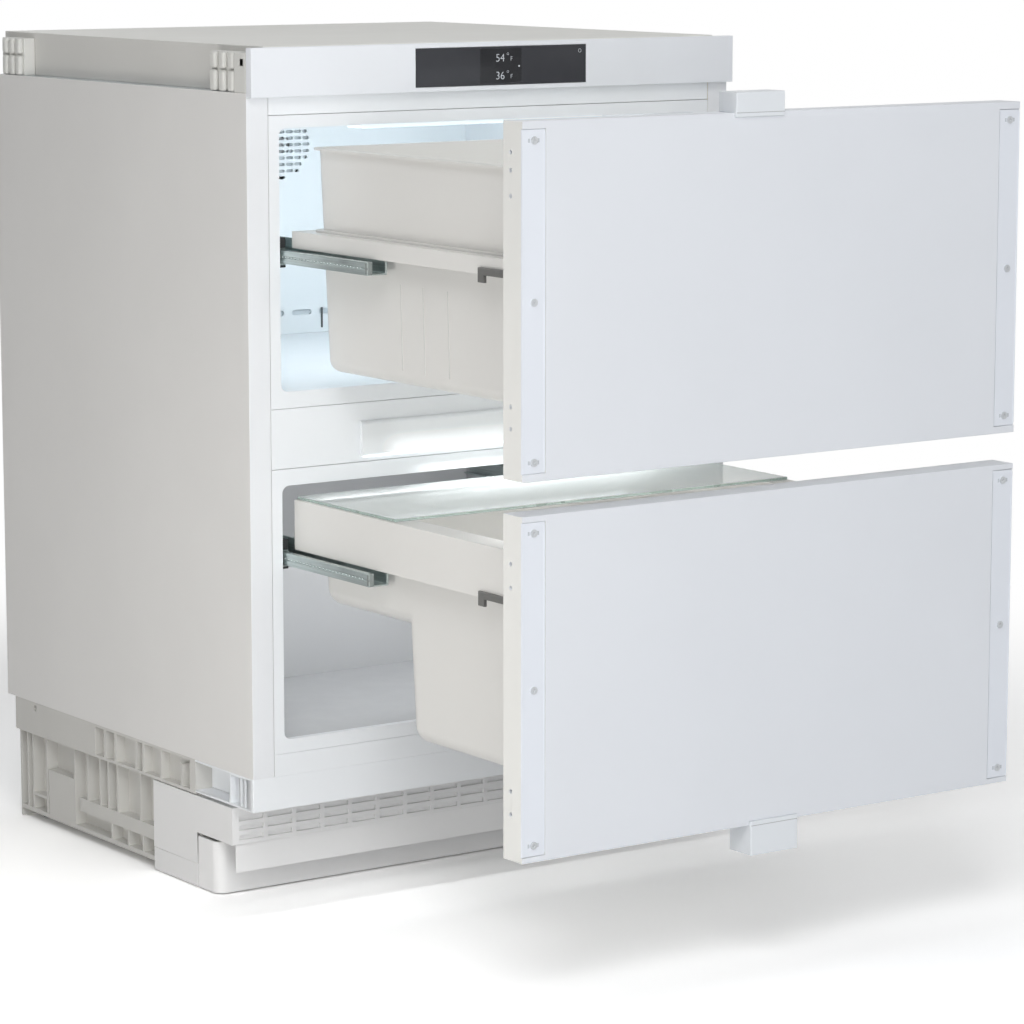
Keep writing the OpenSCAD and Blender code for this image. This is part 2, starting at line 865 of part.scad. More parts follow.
// Square frame round a fan wheel, with the motor held by three arms behind it
module fan_frame(r, foot) {
    wall = 3;
    half = r + fan_frame_w;
    motor_y = fan_l + 1;
    difference() {
        union() {
            slab([-half, half], [0, motor_y + 3], [-half - foot, half]);
            translate([0, motor_y, 0])
                rotate([-90, 0, 0])
                    cylinder(r = hub_r + 3, h = motor_l);
        }
        difference() {
            translate([0, -1, 0])
                rotate([-90, 0, 0])
                    cylinder(r = r + 1, h = motor_y + 6);
            translate([0, motor_y, 0])
                rotate([-90, 0, 0])
                    cylinder(r = hub_r + 3, h = motor_l);
            for (a = [90, 210, 330])
                translate([0, motor_y, 0])
                    rotate([0, a, 0])
                        slab([0, r + 2], [0, wall], [-2, 2]);
        }
        translate([0, motor_y - 1, 0])
            rotate([-90, 0, 0])
                cylinder(r = shaft_r + bore_gap, h = motor_l + 2);
        if (foot > wall)
            slab([-half + wall, half - wall], [-1, motor_y + 6], [-half - foot - 1, -half]);
    }
}

module fan_motors() {
    color(dark) {
        translate([cold_fan_x, cold_fan_y, cold_fan_z])
            fan_frame(cold_fan_r, 0);
        translate([warm_fan_x, warm_fan_y, warm_fan_z])
            fan_frame(warm_fan_r, warm_fan_lift);
    }
}

module cold_fan_rotor() {
    color(white)
        translate([cold_fan_x, cold_fan_y, cold_fan_z])
            fan_rotor(cold_fan_r);
}

module warm_fan_rotor() {
    color(dark)
        translate([warm_fan_x, warm_fan_y, warm_fan_z])
            fan_rotor(warm_fan_r);
}

module cavity_light() {
    half = 150;
    depth = 26;
    y0 = cavity_front + 14;
    color([0.85, 0.93, 1.0])
        slab([-half, half], [y0, y0 + depth], [upper_top - 5, upper_top]);
}

// ---- Rails in the cabinet ----
module fixed_rail(z) {
    x = [-cavity_half, -fixed_x];
    y = [fixed_y0, fixed_y1];
    low = z + mid_bottom - rail_gap;
    high = z + mid_top + rail_gap;
    union() {
        slab([-cavity_half, -cavity_half + rail_wall], y, [z - rail_plate_low, z + rail_plate_high]);
        slab(x, y, [low - rail_wall, low]);
        slab(x, y, [high, high + rail_wall]);
    }
}

module fixed_rails() {
    color(steel)
        both_sides() {
            fixed_rail(upper_rail_z);
            fixed_rail(lower_rail_z);
        }
}

module rail_damper(z) {
    low = z + mid_bottom - rail_gap - rail_wall;
    high = z + mid_top + rail_gap + rail_wall;
    x = [-cavity_half + rail_wall, -fixed_x];
    y = [fixed_y0, fixed_y0 + damper_l];
    slab(x, y, [z - rail_plate_low, low]);
    slab(x, y, [high, z + rail_plate_high]);
}

module rail_dampers() {
    color(dark)
        both_sides() {
            rail_damper(upper_rail_z);
            rail_damper(lower_rail_z);
        }
}

// Middle rail: a bar in the fixed rail, and a tongue that runs in the drawer's rail
module mid_rail(s, z) {
    y = [mid_y0, mid_y1];
    bottom = z + mid_bottom;
    color(steel)
        side(s)
            difference() {
                union() {
                    slab([-mid_x1, -mid_x0], y, [bottom, z + mid_top]);
                    slab([-mid_x0 - eps, -tongue_x], y, [bottom, bottom + rail_wall]);
                    slab([-tongue_x - tongue_t, -tongue_x], y, [bottom, z + tongue_top]);
                }
                slab([-mid_x1 - 1, -mid_x1 + mid_groove], [mid_y0 - 1, mid_y1 + 1],
                     [bottom + mid_rail_h / 2 - mid_groove, bottom + mid_rail_h / 2 + mid_groove]);
            }
}

module mid_rail_upper_left() {
    mid_rail(-1, upper_rail_z);
}

module mid_rail_upper_right() {
    mid_rail(1, upper_rail_z);
}

module mid_rail_lower_left() {
    mid_rail(-1, lower_rail_z);
}

module mid_rail_lower_right() {
    mid_rail(1, lower_rail_z);
}

// ---- Drawer fronts ----
function strip_screws(l) = [for (k = [-1:1]) k * (l / 2 - screw_end)];

module front_board(z, h, strip_end, low_holes, high_holes) {
    centre = z + h / 2;
    strip_l = h - 2 * strip_end;
    side_holes = concat(low_holes, [for (d = high_holes) h - d]);
    difference() {
        slab([-front_half, front_half], [front_face_y, front_back_y], [z, z + h]);
        both_sides() {
            slab([-front_half - 1, -front_half + strip_w],
                 [front_face_y - 1, front_face_y + rabbet_d],
                 [centre - strip_l / 2, centre + strip_l / 2]);
            for (dz = strip_screws(strip_l))
                translate([-strip_x, front_face_y, centre + dz])
                    rotate([-90, 0, 0])
                        cylinder(r = screw_r + bore_gap, h = rabbet_d + screw_l, $fn = 24);
            for (dz = side_holes)
                translate([-front_half - 1, side_hole_y, z + dz])
                    rotate([0, 90, 0])
                        cylinder(r = side_hole_r, h = side_hole_depth + 1, $fn = 24);
        }
    }
}

module strips(z, h, strip_end) {
    centre = z + h / 2;
    strip_l = h - 2 * strip_end;
    color([0.84, 0.86, 0.90])
        both_sides()
            difference() {
                slab([-front_half, -front_half + strip_w - seam],
                     [front_face_y + rabbet_d - strip_t, front_face_y + rabbet_d],
                     [centre - strip_l / 2 + seam, centre + strip_l / 2 - seam]);
                for (dz = strip_screws(strip_l))
                    translate([-strip_x, front_face_y - 1, centre + dz])
                        rotate([-90, 0, 0])
                            cylinder(r = screw_r + bore_gap, h = rabbet_d + 2, $fn = 24);
            }
}

module screws(z, h, strip_end) {
    centre = z + h / 2;
    seat = front_face_y + rabbet_d - strip_t;
    color(steel)
        both_sides()
            for (dz = strip_screws(h - 2 * strip_end))
                translate([-strip_x, seat, centre + dz])
                    rotate([-90, 0, 0])
                        difference() {
                            union() {
                                translate([0, 0, -screw_head_t])
                                    cylinder(r = screw_head_r, h = screw_head_t, $fn = 32);
                                translate([0, 0, -eps])
                                    cylinder(r = screw_r, h = screw_l, $fn = 24);
                            }
                            for (a = [0, 90])
                                rotate(a)
                                    translate([-screw_head_r / 2, -screw_slot_w / 2, -screw_head_t - 1])
                                        cube([screw_head_r, screw_slot_w, screw_slot_depth + 1]);
                        }
}

// Magnetic seal: a foot on the drawer front and a narrower bulb that meets the frame
module gasket(z0, z1) {
    foot_d = gasket_foot_d;
    step = gasket_step;
    y1 = front_back_y + front_gap - gasket_gap;
    color([0.93, 0.94, 0.94])
        difference() {
            union() {
                slab([-face_half, face_half], [front_back_y, front_back_y + foot_d], [z0, z1]);
                slab([-face_half + step, face_half - step], [front_back_y, y1], [z0 + step, z1 - step]);
            }
            slab([-face_half + gasket_w, face_half - gasket_w], [front_back_y - 1, y1 + 1],
                 [z0 + gasket_w, z1 - gasket_w]);
            difference() {
                slab([-half_w, half_w], [front_back_y + foot_d, y1 + 1], [z0 - 1, z1 + 1]);
                slab([-face_half + gasket_w - step, face_half - gasket_w + step],
                     [front_back_y, y1 + 2], [z0 + gasket_w - step, z1 - gasket_w + step]);
                slab([-half_w, half_w], [front_back_y, y1 + 2], [z0 - 2, z0 + gasket_w - step]);
                slab([-half_w, half_w], [front_back_y, y1 + 2], [z1 - gasket_w + step, z1 + 2]);
                both_sides()
                    slab([-half_w, -face_half + gasket_w - step], [front_back_y, y1 + 2], [z0 - 2, z1 + 2]);
            }
        }
}

// Shallow seat for the lip of a fitting, at an edge of a front
module lip_space(x, z) {
    half = block_w / 2 + lip_fit;
    slab([x - half, x + half], [front_face_y - 1, front_face_y + lip_seat], z);
}

module upper_front() {
    color(white)
        difference() {
            front_board(upper_front_z, upper_front_h, upper_strip_end, upper_low_holes, upper_high_holes);
            lip_space(upper_bracket_x, [upper_front_top - lip_drop - lip_fit, upper_front_top + 1]);
        }
}

module upper_strips() {
    strips(upper_front_z, upper_front_h, upper_strip_end);
}

module upper_screws() {
    screws(upper_front_z, upper_front_h, upper_strip_end);
}

module upper_gasket() {
    gasket(upper_frame_z0, upper_frame_z1);
}

// Fitting on the upper edge, with a lip that hooks over the face
module upper_bracket() {
    x = [upper_bracket_x - block_w / 2, upper_bracket_x + block_w / 2];
    color(white)
        union() {
            slab(x, [front_face_y - lip_t, front_back_y - bracket_setback],
                 [upper_front_top, upper_front_top + fitting_h]);
            slab(x, [front_face_y - lip_t, front_face_y + lip_seat],
                 [upper_front_top - lip_drop, upper_front_top + fitting_h]);
        }
}

module lower_front() {
    color(white)
        difference() {
            front_board(lower_front_z, lower_front_h, lower_strip_end, lower_low_holes, lower_high_holes);
            lip_space(lower_bracket_x, [lower_front_z - 1, lower_front_z + lip_drop + lip_fit]);
        }
}

module lower_strips() {
    strips(lower_front_z, lower_front_h, lower_strip_end);
}

module lower_screws() {
    screws(lower_front_z, lower_front_h, lower_strip_end);
}

module lower_gasket() {
    gasket(lower_seam_z, lower_frame_z1);
}

// Fitting under the lower edge, with a lip that hooks over the face
module lower_bracket() {
    x = [lower_bracket_x - block_w / 2, lower_bracket_x + block_w / 2];
    z0 = lower_front_z - lower_fitting_h;
    color(white)
        union() {
            slab(x, [front_face_y - lip_t, front_back_y], [z0, lower_front_z]);
            slab(x, [front_face_y - lip_t, front_face_y + lip_seat], [z0, lower_front_z + lip_drop]);
        }
}

// ---- Bins, carriers and the drawers' rails ----
function lean_at(dz) = bin_lean * dz / (upper_bin_top - upper_bin_bottom);

// Tub whose walls lean in towards a round-edged floor, shrunk by the given wall
module tub(half, y, z, r, shrink) {
    lean = lean_at(z[1] - z[0]);
    rr = r - shrink;
    inset = shrink + rr;
    $fn = 32;
    hull() {
        for (x = [-1, 1], e = [0, 1])
            translate([x * (half - inset), e == 0 ? y[0] + inset : y[1] - inset, z[1] - 1])
                cylinder(r = rr, h = 1);
        for (x = [-1, 1], e = [0, 1])
            translate([x * (half - lean - inset), e == 0 ? y[0] + lean + inset : y[1] - lean - inset,
                       z[0] + shrink + rr])
                sphere(r = rr);
    }
}

// Flat ring round a bin
module bin_ring(y, z, out, wall, r) {
    l = y[1] - y[0];
    translate([0, (y[0] + y[1]) / 2, z[0]])
        linear_extrude(z[1] - z[0])
            difference() {
                round_rect(2 * (bin_half + out), l + 2 * out, r + out);
                round_rect(2 * (bin_half - wall), l - 2 * wall, r - wall);
            }
}

module upper_bin() {
    y = [bin_y0, bin_y1];
    ledge_z = upper_rail_z + upper_carrier_h;
    ledge_in = lean_at(upper_bin_top - ledge_z) + bin_wall / 2;
    color(white)
        difference() {
            union() {
                tub(bin_half, y, [upper_bin_bottom, upper_bin_top], bin_r, 0);
                bin_ring(y, [upper_bin_top - rim_t, upper_bin_top], rim_w, bin_wall, bin_r);
                bin_ring(y, [ledge_z, ledge_z + rim_t], rim_w - 1, ledge_in, bin_r);
            }
            tub(bin_half, y, [upper_bin_bottom, upper_bin_top + 2], bin_r, bin_wall);
            both_sides()
                for (gy = groove_ys)
                    translate([-bin_half + lean_at(upper_bin_top - ledge_z), face_y - gy, 0])
                        slab([-bin_lean, groove_d], [0, groove_w],
                             [upper_bin_bottom + groove_low, ledge_z - groove_high]);
        }
}

module lower_bin() {
    y = [bin_y0, bin_y1];
    deep_y = [bin_y0 + lean_at(lower_bin_top - shallow_bottom), bin_y1 - shallow_l];
    deep_half = bin_half - lean_at(lower_bin_top - shallow_bottom);
    deep_top = shallow_bottom + lower_bin_r + 2 * rim_t;
    color(white)
        difference() {
            union() {
                tub(bin_half, y, [shallow_bottom, lower_bin_top], lower_bin_r, 0);
                tub(deep_half, deep_y, [deep_bottom, deep_top], lower_bin_r, 0);
                bin_ring(y, [lower_bin_top - rim_t, lower_bin_top], rim_w, bin_wall, lower_bin_r);
            }
            tub(bin_half, y, [shallow_bottom, lower_bin_top + 2], lower_bin_r, bin_wall);
            tub(deep_half, deep_y, [deep_bottom, deep_top + 2], lower_bin_r, bin_wall);
        }
}

// Left beam of a carrier: open underneath, with a seat for the drawer's rail
module carrier_beam(z, h, top_in, wall_top) {
    y = [front_back_y, carrier_rear];
    inside = -bin_half - beam_gap;
    slab([-carrier_half, -carrier_half + carrier_wall], y, [z, z + h]);
    slab([inside - carrier_wall, inside], y, [z, wall_top]);
    slab([-carrier_half, inside], y, [z + rail_seat, z + rail_seat + carrier_wall]);
    slab([-carrier_half, inside + top_in], y, [z + h - carrier_wall, z + h]);
}

// Where the top reaches over the bin, the inner walls end under the bin's rim
module carrier(z, h, top_in) {
    wall_top = z + h - (top_in > 0 ? carrier_wall + rim_t + rim_gap + 0.2 : 0);
    across = [-bin_half - beam_gap - eps, bin_half + beam_gap + eps];
    bar_y = bin_y1 + beam_gap;
    color(white)
        union() {
            both_sides()
                carrier_beam(z, h, top_in, wall_top);
            slab(across, [front_back_y, front_back_y + beam_end_t], [z, wall_top]);
            slab(across, [bar_y, bar_y + carrier_wall], [z, wall_top]);
            slab([-carrier_half, carrier_half], [carrier_rear - carrier_wall, carrier_rear],
                 [z + rail_seat, z + h]);
            slab(across, [carrier_rear - carrier_wall, carrier_rear], [z, z + h]);
            slab([-carrier_half, carrier_half], [bar_y - top_in, carrier_rear],
                 [z + h - carrier_wall, z + h]);
        }
}

module upper_carrier() {
    carrier(upper_rail_z, upper_carrier_h, 0);
}

module lower_carrier() {
    carrier(lower_rail_z, lower_carrier_h, gallery_w - beam_w + beam_gap);
}

// The drawer's own rails: channels that open downwards, one on each side
module inner_rails(z) {
    y = [front_back_y + rail_start, carrier_rear - rail_start];
    z0 = z + inner_rail_lift;
    z1 = z0 + inner_rail_h;
    color(steel)
        both_sides()
            difference() {
                slab([-inner_rail_x1, -inner_rail_x0], y, [z0, z1]);
                slab([-inner_rail_x1 + rail_wall, -inner_rail_x0 - rail_wall], [y[0] - 1, y[1] + 1],
                     [z0 - 1, z1 - rail_wall]);
            }
}

module upper_inner_rails() {
    inner_rails(upper_rail_z);
}

module lower_inner_rails() {
    inner_rails(lower_rail_z);
}

module catches(z) {
    x = [-carrier_half - catch_w, -carrier_half];
    y1 = front_back_y + catch_l;
    color(dark)
        both_sides()
            union() {
                slab(x, [front_back_y, y1], [z, z + catch_h]);
                slab(x, [y1 - catch_foot_l, y1], [z - catch_h, z + catch_h]);
            }
}

module upper_catches() {
    catches(upper_rail_z);
}

module lower_catches() {
    catches(lower_rail_z);
}

module glass_cover() {
    z = lower_carrier_top + glass_gap;
    y1 = carrier_rear - glass_rear_inset;
    color([0.72, 0.85, 0.82, 0.5])
        slab([-carrier_half + glass_inset, carrier_half - glass_inset], [y1 - glass_d, y1], [z, z + glass_t]);
}

// ---- Base ----
module skirt_ring(half, y, z, side_wall, end_wall) {
    translate([0, (y[0] + y[1]) / 2, z[0]])
        linear_extrude(z[1] - z[0])
            difference() {
                square([2 * half, y[1] - y[0]], center = true);
                square([2 * (half - side_wall), y[1] - y[0] - 2 * end_wall], center = true);
            }
}

module at_feet() {
    for (x = [-foot_x, foot_x], y = [foot_front_y, foot_rear_y])
        translate([x, y, 0])
            children();
}

// Walls of the drip tray
module tray() {
    y0 = bulkhead_y + tray_inset;
    y1 = base_y1 - tray_inset;
    z = [floor_z, floor_top + tray_h];
    for (y = [y0, y1 - tray_wall])
        slab([tray_x0, tray_x1], [y, y + tray_wall], z);
    for (x = [tray_x0, tray_x1 - tray_wall])
        slab([x, x + tray_wall], [y0, y1], z);
}

// Plate in the left recess of the base, between two distances from its rear
module recess_plate(from_rear, z) {
    slab([-skirt_half, -recess_half + eps], [base_y1 - from_rear[1], base_y1 - from_rear[0]], z);
}

// Inner wall, ribs, shelves and panel of the left recess of the base
module side_ribs() {
    slab([-recess_half, -recess_half + base_wall], [base_y1 - recess_l - base_wall, base_y1 - eps],
         [floor_z, band_z + eps]);
    for (d = full_ribs)
        recess_plate([d - rib_t, d], [rib_z, band_z + eps]);
    for (d = high_ribs)
        recess_plate([d - rib_t, d], [rib_shelf_z[1] - eps, band_z + eps]);
    for (d = low_ribs)
        recess_plate([d - rib_t, d], [rib_z, rib_shelf_z[0] + eps]);
    recess_plate([base_wall - eps, recess_l + base_wall], [rib_z, rib_z + rib_base_t]);
    recess_plate([recess_l, recess_l + base_wall], [rib_z, band_z + eps]);
    recess_plate(rib_shelf, rib_shelf_z);
    recess_plate(rib_ledge, [rib_ledge_z, rib_ledge_z + rib_t]);
    recess_plate(rib_panel, [rib_z, rib_panel_top]);
}

module base_moulding() {
    band_side = pocket_depth + base_wall;
    band_end = band_half - skirt_half + base_wall;
    slots = floor((skirt_half - base_slot_margin) / base_slot_pitch);
    slot_zs = [band_z / 2 + 12, band_z / 2 - 6];
    window_half = skirt_half - window_margin;
    color([0.80, 0.80, 0.79])
        difference() {
            union() {
                difference() {
                    skirt_ring(skirt_half, [base_y0, base_y1], [0, band_z + eps], base_wall, base_wall);
                    both_sides()
                        slab([-skirt_half - 1, -skirt_half + base_wall + eps],
                             [base_y1 - recess_l, base_y1 - base_wall], [-1, band_z + 1]);
                }
                skirt_ring(band_half, [base_y0, base_y1], [band_z, base_h], band_side, band_end);
                slab([-recess_half, recess_half], [base_y0 + eps, base_y1 - eps], [floor_z, floor_top]);
                slab([-skirt_half + eps, skirt_half - eps], [base_y0 + eps, base_y1 - recess_l],
                     [floor_z, floor_top]);
                at_feet()
                    translate([0, 0, floor_z])
                        cylinder(r = boss_r, h = boss_h);
                tray();
                both_sides()
                    side_ribs();
            }
            at_feet()
                cylinder(r = stem_r + bore_gap, h = band_z, $fn = 32);
            slab([-window_half, window_half], [base_y0 - 1, base_y0 + base_wall + 1],
                 [floor_top + window_frame, band_z - window_frame]);
            for (i = [-slots:slots], z = slot_zs)
                wall_slot(i * base_slot_pitch, z, base_slot_w, base_slot_h,
                          [base_y1 - base_wall - 1, base_y1 + 1]);
            both_sides()
                for (y = concat(base_y0 + side_hole_front, [for (d = side_hole_rears) base_y1 - d]))
                    translate([-band_half - 1, y, base_h - base_hole_drop - base_hole_r])
                        rotate([0, 90, 0])
                            cylinder(r = base_hole_r, h = band_side + 2, $fn = 24);
            both_sides()
                for (p = band_pockets)
                    slab([-band_half - 1, -band_half + pocket_depth],
                         [base_y1 - p[0] - p[1], base_y1 - p[0]], [band_z + pocket_edge, base_h - pocket_edge]);
        }
}

module vent_grille() {
    y0 = face_y + grille_y;
    z1 = grille_top;
    pitch_x = 2 * (grille_half - grille_margin) / grille_columns;
    pitch_z = (grille_h - grille_row_margin) / grille_rows;
    left = -grille_half + grille_margin;
    side_x = [-grille_half, -grille_half + grille_wall];
    side_y1 = base_y0 + grille_return_l;
    color(white)
        difference() {
            union() {
                slab([-grille_half, grille_half], [y0, y0 + grille_wall], [grille_z, z1]);
                slab([-grille_half, grille_half], [y0, base_y0], [z1 - grille_wall, z1]);
                both_sides() {
                    slab(side_x, [y0, side_y1], [grille_z, z1]);
                    slab(side_x, [base_y0 + 1, side_y1], [grille_z - grille_return_drop, z1]);
                }
            }
            for (i = [0:grille_columns - 1], j = [0:grille_rows - 1])
                let (z = grille_z + grille_row_drop + (j + 0.5) * pitch_z)
                    slab([left + i * pitch_x + grille_bar / 2, left + (i + 1) * pitch_x - grille_bar / 2],
                         [y0 - 1, y0 + grille_wall + 1], [z - grille_slot_h / 2, z + grille_slot_h / 2]);
        }
}

module plinth() {
    y0 = face_y + plinth_y;
    side_l = base_y0 - y0 - 1;
    color([0.86, 0.87, 0.89])
        union() {
            translate([0, 0, plinth_gap])
                linear_extrude(plinth_h)
                    intersection() {
                        translate([0, y0 + side_l])
                            difference() {
                                round_rect(2 * plinth_half, 2 * side_l, plinth_corner);
                                round_rect(2 * (plinth_half - plinth_wall), 2 * (side_l - plinth_wall),
                                           plinth_corner - plinth_wall);
                            }
                        translate([-plinth_half, y0])
                            square([2 * plinth_half, side_l]);
                    }
            both_sides()
                translate([-plinth_half + plinth_tab_inset, 0, 0])
                    slab([0, plinth_tab_w], [y0 + plinth_wall - eps, base_y0], plinth_tab_z);
        }
}

// Levelling foot: a pad with a threaded stem that screws out of the base
module foot(x, y) {
    color(dark)
        translate([x, y, 0])
            union() {
                cylinder(r = foot_r, h = foot_pad_t);
                translate([0, 0, foot_pad_t - eps])
                    cylinder(r = foot_r - foot_neck_inset, h = foot_neck_t);
                cylinder(r = stem_r, h = foot_travel + boss_h - foot_stem_short, $fn = 32);
            }
}

module foot_front_left() {
    foot(-foot_x, foot_front_y);
}

module foot_front_right() {
    foot(foot_x, foot_front_y);
}

module foot_rear_left() {
    foot(-foot_x, foot_rear_y);
}

module foot_rear_right() {
    foot(foot_x, foot_rear_y);
}

// ---- Cooling circuit at the bottom ----
module compressor() {
    round_r = 34;
    waist = 10;
    plate_t = 3;
    lug = 62;
    lug_r = 9;
    lug_inset = 10;
    lug_margin = 12;
    box_out = 22;
    box_in = 14;
    box_half = 24;
    stub_h = 40;
    shell_h = compressor_h - plate_t + 1;
    color(dark)
        translate([compressor_x, compressor_y, compressor_z])
            union() {
                translate([0, 0, plate_t - 1])
                    rotate_extrude($fn = 64)
                        intersection() {
                            union() {
                                square([compressor_r - round_r, shell_h]);
                                translate([0, round_r / 2])
                                    square([compressor_r, shell_h - 1.5 * round_r]);
                                square([compressor_r - waist, round_r]);
                                translate([compressor_r - round_r, shell_h - round_r])
                                    circle(round_r);
                            }
                            square([compressor_r, shell_h]);
                        }
                slab([-lug - lug_margin, lug + lug_margin], [-lug, lug], [0, plate_t]);
                for (x = [-lug, lug], y = [-lug + lug_inset, lug - lug_inset])
                    translate([x, y, -compressor_lift])
                        cylinder(r = lug_r, h = compressor_lift + eps);
                slab([compressor_r - box_in, compressor_r + box_out], [-box_half, box_half], terminal_z);
                for (a = [120, 150])
                    rotate(a)
                        translate([compressor_r / 2, 0, compressor_h - stub_h / 2])
                            cylinder(r = tube_r + 1, h = stub_h, $fn = 24);
            }
}

// Flat serpentine tube on two strips
module condenser() {
    strip_x = condenser_half - condenser_strip_inset;
    strip_half = 6;
    z = floor_top + condenser_lift;
    last = (condenser_runs - 1) * condenser_pitch;
    color(dark)
        union() {
            for (i = [0:condenser_runs - 1])
                translate([-condenser_half, condenser_y0 + i * condenser_pitch, z])
                    rotate([0, 90, 0])
                        cylinder(r = tube_r, h = 2 * condenser_half, $fn = 24);
            for (i = [0:condenser_runs - 2])
                let (s = i % 2 == 0 ? 1 : -1)
                    translate([s * condenser_half, condenser_y0 + (i + 0.5) * condenser_pitch, z])
                        rotate([0, 0, -90 * s])
                            rotate_extrude(angle = 180, $fn = 48)
                                translate([condenser_pitch / 2, 0])
                                    circle(tube_r, $fn = 24);
            for (x = [-strip_x, strip_x])
                slab([x - strip_half, x + strip_half],
                     [condenser_y0 - strip_half, condenser_y0 + last + strip_half],
                     [floor_top, z - tube_r / 2]);
        }
}

module rear_cover() {
    z = [band_z + 4, bulkhead_z];
    columns = 17;
    pitch = 2 * (back_half - 40) / (columns - 1);
    slot_w = 8;
    slot_low = 24;
    slot_high = 30;
    lip_d = 18;
    fit = 0.3;
    y = [body_y1 - sheet_t - 1, body_y1 + 1];
    color(steel)
        difference() {
            union() {
                slab([-back_half, back_half], [body_y1 - sheet_t, body_y1], [z[0], z[1] - seam]);
                slab([-back_half, back_half], [body_y1 - lip_d, body_y1 - sheet_t - seam],
                     [z[1] - sheet_t, z[1]]);
                slab([-back_half, back_half], [body_y1 - 2 * sheet_t - seam, body_y1 - sheet_t + eps],
                     [z[1] - sheet_t - seam, z[1] - seam]);
            }
            for (i = [0:columns - 1])
                let (x = (i - (columns - 1) / 2) * pitch)
                    if (abs(x - inlet_x) > inlet_w)
                        slab([x - slot_w / 2, x + slot_w / 2], y, [z[0] + slot_low, z[1] - slot_high]);
            slab([inlet_x - inlet_w / 2 - fit, inlet_x + inlet_w / 2 + fit], y,
                 [inlet_z - inlet_h / 2 - fit, inlet_z + inlet_h / 2 + fit]);
        }
}

// Three-pin appliance inlet
module power_inlet() {
    flange = 4;
    flange_t = 2.5;
    wall = 3;
    depth = 20;
    pin_pitch = 7;
    pin_h = 5;
    pin_end = 3;
    color(dark)
        translate([inlet_x, body_y1, inlet_z])
            union() {
                difference() {
                    union() {
                        slab([-inlet_w / 2, inlet_w / 2], [-depth, eps], [-inlet_h / 2, inlet_h / 2]);
                        slab([-inlet_w / 2 - flange, inlet_w / 2 + flange], [0, flange_t],
                             [-inlet_h / 2 - flange, inlet_h / 2 + flange]);
                    }
                    slab([-inlet_w / 2 + wall, inlet_w / 2 - wall], [-depth + wall, flange_t + 1],
                         [-inlet_h / 2 + wall, inlet_h / 2 - wall]);
                }
                for (i = [-1:1])
                    slab([i * pin_pitch - 1, i * pin_pitch + 1], [-depth + wall - eps, -pin_end],
                         i == 0 ? [0, pin_h] : [-pin_h, 0]);
            }
}

side_panel_left();
side_panel_right();
rear_roof_panel();
underside_panel();
insulation_foam();
upper_liner();
lower_liner();
upper_frame();
lower_frame();
top_rail();
divider_cover();
divider_light();
bottom_cover();
header_housing();
display_glass();
control_board();
top_cover();
corner_blocks();
duct_cover();
evaporator();
fan_motors();
cold_fan_rotor();
warm_fan_rotor();
cavity_light();
fixed_rails();
rail_dampers();
mid_rail_upper_left();
mid_rail_upper_right();
mid_rail_lower_left();
mid_rail_lower_right();
upper_front();
upper_strips();
upper_screws();
upper_gasket();
upper_bracket();
upper_bin();
upper_carrier();
upper_inner_rails();
upper_catches();
lower_front();
lower_strips();
lower_screws();
lower_gasket();
lower_bracket();
lower_bin();
lower_carrier();
lower_inner_rails();
lower_catches();
glass_cover();
base_moulding();
vent_grille();
plinth();
foot_front_left();
foot_front_right();
foot_rear_left();
foot_rear_right();
compressor();
condenser();
rear_cover();
power_inlet();
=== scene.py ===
"""Looks of the undercounter drawer refrigerator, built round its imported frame.

Metres and the frame's axes throughout: X to the right, Y to the rear, Z up.
"""
import json
import math

import bmesh
import bpy
from mathutils import Matrix, Vector


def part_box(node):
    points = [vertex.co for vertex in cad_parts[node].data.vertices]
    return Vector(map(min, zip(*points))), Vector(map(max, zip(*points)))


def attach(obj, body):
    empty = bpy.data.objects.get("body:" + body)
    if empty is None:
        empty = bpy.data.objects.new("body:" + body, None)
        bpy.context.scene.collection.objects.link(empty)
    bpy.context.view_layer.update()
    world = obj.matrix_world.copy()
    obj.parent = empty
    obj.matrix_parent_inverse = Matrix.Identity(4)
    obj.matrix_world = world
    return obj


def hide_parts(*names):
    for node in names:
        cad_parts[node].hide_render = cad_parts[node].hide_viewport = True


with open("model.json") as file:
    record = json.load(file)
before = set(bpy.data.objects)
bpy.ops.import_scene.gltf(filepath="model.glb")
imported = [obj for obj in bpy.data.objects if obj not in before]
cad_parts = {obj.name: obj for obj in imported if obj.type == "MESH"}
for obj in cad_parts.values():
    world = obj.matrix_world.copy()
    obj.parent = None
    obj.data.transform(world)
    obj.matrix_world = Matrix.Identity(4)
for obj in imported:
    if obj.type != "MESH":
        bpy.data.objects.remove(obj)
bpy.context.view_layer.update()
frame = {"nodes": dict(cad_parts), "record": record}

MM = 0.001
NODES = frame["nodes"]
BODY_OF = {n: body for body, nodes in frame["record"]["behaviour"]["bodies"].items() for n in nodes}
SLOT_OF = {part["node"]: part["material_slot"] for part in frame["record"]["subparts"]}
SIDES = (-1, 1)
X, Y, Z = range(3)
# Most values of a noise texture lie between these two.
NOISE_LOW = 0.3
NOISE_HIGH = 0.7
WHITE = (1.0, 1.0, 1.0, 1.0)


# ---- Materials ----
def linear(hex_colour, alpha=True):
    """Linear colour of a hexadecimal sRGB colour."""
    parts = [int(hex_colour[i:i + 2], 16) / 255 for i in (1, 3, 5)]
    rgb = [c / 12.92 if c <= 0.04045 else ((c + 0.055) / 1.055) ** 2.4 for c in parts]
    return (*rgb, 1.0) if alpha else tuple(rgb)


